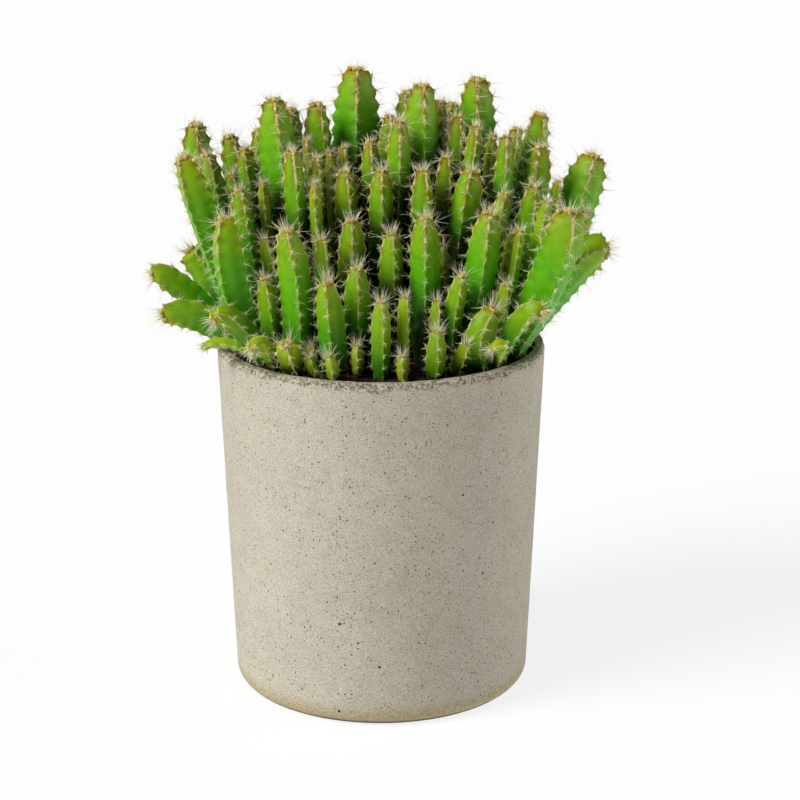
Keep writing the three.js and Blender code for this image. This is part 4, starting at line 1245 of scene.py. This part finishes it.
def areoles(surface):
    """Place, outward way, upward way and distance below the tip of every areole on a stem."""
    count, top, step = surface["count"], surface["top"], surface["step"]
    places, outs, ups, below = [], [], [], []
    for rib in range(count):
        column = rib * RIB_POINTS + RIB_POINTS // 2
        crests = np.arange(int((top - LOWEST_AREOLE) / step) + 1)
        crest = top - (crests - surface["shift"][rib]) * step
        crest[0] = top
        rows = np.clip(np.searchsorted(surface["height"], crest - 0.01), 0, len(surface["height"]) - 1)
        places.append(surface["rings"][rows, column])
        outs.append(surface["around"][rows, column])
        ups.append(surface["up"][rows])
        below.append(top - crest)
    return [np.concatenate(values) for values in (places, outs, ups, below)]


def kept_in_box(start, reach):
    """The share of a spine's length that stays inside the object's box."""
    room = np.where(reach > 0, HIGH - INSET - start, start - LOW - INSET)
    share = np.min(np.maximum(room, 0.2) / np.maximum(np.abs(reach), 1e-6), axis=1)
    return np.minimum(1, share)


def spine_part(start, way, length, thick, rng):
    """Three-sided tapering tubes with a slight bend, as a part."""
    way = way / np.linalg.norm(way, axis=1, keepdims=True)
    length = length * kept_in_box(start, way * length[:, None])
    sag = rng.normal(0, SPINE_BEND, way.shape) * length[:, None]
    deep = depth_in_clump(start)
    chosen = (start[:, 2] + way[:, 2] * length > SOIL_TOP - 1.5) & (length > SHORTEST_SPINE)
    chosen &= rng.uniform(0, 1, len(start)) > np.clip((deep - DEEP_FROM) / DEEP_FADE, 0, DEEP_MOST)
    vertices, faces = tubes(start[chosen], way[chosen], length[chosen], thick[chosen], sag[chosen],
                            SPINE_STEPS + 1, SPINE_SIDES)
    count = int(chosen.sum())
    # The olive share: a random age, plus the depth in the clump as painted shade
    aged_and_shaded = np.clip(rng.uniform(0, 0.4, count) + (deep[chosen] - DEEP_FROM / 2) / DEEP_FADE, 0, 1)
    ages = np.repeat(aged_and_shaded, len(vertices) // max(1, count))
    return {"vertices": np.clip(vertices, LOW, HIGH), "faces": faces, "material": 1,
            "values": {"age_and_shade": ages}}


print("spines stay inside the box from", LOW.round(1), "to", HIGH.round(1), "mm")

# %% Spines on the ribs
RIB_SPINES = 9
CENTRAL_SPINES = 2
# Angles from the outward way, in radians: the star lies flat, and the central spines stand out
STAR_TILT = (0.7, 1.4)
CENTRAL_TILT = (0.1, 0.7)
STAR_LENGTH = (0.9, 2.9)
CENTRAL_GAIN = (1.0, 1.6)
FRESH_LENGTH, FRESH_GAIN = 14.0, 0.6
RIB_SPINE_RADII = (0.05, 0.08)
OLD_RIB, OLD_KEPT = 34.0, 0.55


def rib_spines(surface, rng):
    """A star of thin spines on every areole: more and longer ones on young crests."""
    place, out, up, below = areoles(surface)
    count = len(place)
    fresh = np.clip(1 - below / FRESH_LENGTH, 0, 1)
    scale = np.clip(0.35 + surface["wide"] / 9, 0.5, 1.1) * between(0.65, 1.3, surface["highness"])
    turn_angle = (np.arange(RIB_SPINES) / RIB_SPINES)[None] * 2 * math.pi + rng.uniform(0, 6.3, (count, 1))
    turn_angle = turn_angle + rng.normal(0, 0.5, (count, RIB_SPINES))
    tilt = rng.uniform(*STAR_TILT, (count, RIB_SPINES))
    tilt[:, :CENTRAL_SPINES] = rng.uniform(*CENTRAL_TILT, (count, CENTRAL_SPINES))
    side = np.cross(up, out)
    flat = np.cos(turn_angle)[..., None] * up[:, None] + np.sin(turn_angle)[..., None] * side[:, None]
    way = np.cos(tilt)[..., None] * out[:, None] + np.sin(tilt)[..., None] * flat
    length = rng.uniform(*STAR_LENGTH, (count, RIB_SPINES)) * scale * (1 + FRESH_GAIN * fresh)[:, None]
    length[:, :CENTRAL_SPINES] *= rng.uniform(*CENTRAL_GAIN, (count, CENTRAL_SPINES))
    kept = (rng.uniform(0, 1, length.shape) < np.where(below > OLD_RIB, OLD_KEPT, 1)[:, None]).ravel()
    start = np.repeat(place - ROOT_DEPTH * out, RIB_SPINES, axis=0)
    thick = rng.uniform(*RIB_SPINE_RADII, count * RIB_SPINES)
    return start[kept], way.reshape(-1, 3)[kept], length.ravel()[kept], thick[kept]


print("spines on an areole:", RIB_SPINES, "of which", CENTRAL_SPINES, "stand out")

# %% Spines of the crown
FAN_LEAST, FAN_BY_WIDTH = 16, 2.6
FAN_SPREAD = (0.05, 1.0)
FAN_REACH = (0.08, 0.36)
FAN_DEPTH = 0.3
FAN_LENGTH = (0.55, 1.0)
LEAST_FAN, LONGEST_FAN = 3.0, 8.5
CROWN_SPINE_RADII = (0.06, 0.09)
TALL_CROWN = 0.52
HAZE_LENGTH, HAZE_RADIUS = 0.42, 0.8


def crown_ways(surface, count, rng):
    """Outward ways from the crown, at random angles."""
    around = surface["around"][-1]
    angle = rng.uniform(0, 2 * math.pi, count)
    return around[(angle / (2 * math.pi) * len(around)).astype(int)]


def crown_spines(surface, rng):
    """A fan of long spines from the crown, up and outwards, over a haze of short fine ones."""
    wide = surface["wide"]
    fan = int(FAN_LEAST + FAN_BY_WIDTH * wide)
    count = 2 * fan
    out = crown_ways(surface, count, rng)
    spread = rng.uniform(*FAN_SPREAD, count)
    up = surface["up"][-1]
    start = surface["crown"] + out * (rng.uniform(*FAN_REACH, count) * wide)[:, None] - FAN_DEPTH * up
    way = up * np.cos(spread)[:, None] + out * np.sin(spread)[:, None]
    shorter = between(1.0, TALL_CROWN, (surface["highness"] - LOW_NOTCH) / (1 - LOW_NOTCH))
    length = rng.uniform(*FAN_LENGTH, count) * min(LONGEST_FAN, LEAST_FAN + wide) * shorter
    thick = rng.uniform(*CROWN_SPINE_RADII, count)
    length[fan:] *= HAZE_LENGTH
    thick[fan:] *= HAZE_RADIUS
    return start, way, length, thick


print("the longest crown spines are", LONGEST_FAN, "mm long")

# %% Wool
WOOL_RINGS, WOOL_SIDES = 3, 6
WOOL_SIZE, FRESH_WOOL = 0.36, 0.36
FRESH_WOOL_LENGTH = 15.0
WOOL_STRETCH = (0.75, 1.3)
CROWN_WOOL_REACH = (0.04, 0.4)
CROWN_WOOL_SIZE = (0.45, 1.1)
WOOL_ROUGHNESS = 0.12
DEEP_WOOL = 24.0


def wool_part(surface, rng):
    """Small rough cushions on the areoles, and a crowd of larger ones on the crown."""
    place, out, _, below = areoles(surface)
    in_light = depth_in_clump(place) < DEEP_WOOL
    place, out, below = place[in_light], out[in_light], below[in_light]
    fresh = np.clip(1 - below / FRESH_WOOL_LENGTH, 0, 1)
    size = min(1.0, 0.5 + surface["wide"] / 14)
    sizes = (WOOL_SIZE + FRESH_WOOL * fresh)[:, None] * size * rng.uniform(*WOOL_STRETCH, (len(place), 3))
    crown_count = int(10 + 1.6 * surface["wide"])
    spot = crown_ways(surface, crown_count, rng)
    crown_reach = rng.uniform(*CROWN_WOOL_REACH, crown_count) * surface["wide"]
    crown_place = surface["crown"] + spot * crown_reach[:, None]
    crown_sizes = rng.uniform(*CROWN_WOOL_SIZE, (crown_count, 3)) * min(1, surface["wide"] / 6)
    places = np.vstack([place - ROOT_DEPTH * out, crown_place])
    vertices, faces = scattered(ball(WOOL_RINGS, WOOL_SIDES), places, np.vstack([sizes, crown_sizes]))
    vertices = roughened(vertices, WOOL_ROUGHNESS, 0.5, (0, 9, 18))
    ages = np.concatenate([rng.uniform(0, 0.7, len(place)) + 0.3 * fresh, rng.uniform(0.2, 1, crown_count)])
    return {"vertices": np.clip(vertices, LOW, HIGH), "faces": faces, "material": 0,
            "values": {"age_and_shade": np.repeat(ages, len(vertices) // len(places))}}


print("wool cushions on a rib are up to", WOOL_SIZE + FRESH_WOOL, "mm in radius, before they vary")

# %% Grow every plant
FIRST_SEED = 1000
# Stems are young in full up to the first radius or tip height, and grown from the second
YOUNG_RADII = (2.8, 4.3)
YOUNG_TIPS = (150.0, 155.0)
THIN_SHARE = 0.6
totals = {"skin": 0, "spines": 0}
for plant, name in enumerate(NAMES):
    skins, coats = [], []
    for stem in np.flatnonzero(stem_plant == plant):
        rng = np.random.default_rng(FIRST_SEED + int(stem))
        surface = stem_surface(stem, rng)
        thin = np.interp(radius[stem], YOUNG_RADII, (1, 0))
        low = np.interp(tip[stem, 2], YOUNG_TIPS, (1, 0))
        young_value = float(max(THIN_SHARE * thin, low))
        skins.append(skin_part(surface, rng.uniform(0, 1), young_value))
        coats.append(wool_part(surface, rng))
        coats.append(spine_part(*rib_spines(surface, rng), rng))
        coats.append(spine_part(*crown_spines(surface, rng), rng))
    plant_skin = make_piece(f"{name}_skin", skins, [skin])
    plant_spines = make_piece(f"{name}_spines", coats, [wool, spine_skin])
    for piece, kind in ((plant_skin, "skin"), (plant_spines, "spines")):
        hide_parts(name)
        totals[kind] += triangle_count(piece)
print("triangles of all plants:", totals)

# %% [markdown]
# ## The frame's box
# The dressed object has to stay inside the frame's box, which is printed here.

# %% Finish
print("frame's box:", np.round(np.array(CAD_BOX) / MM, 1).tolist())
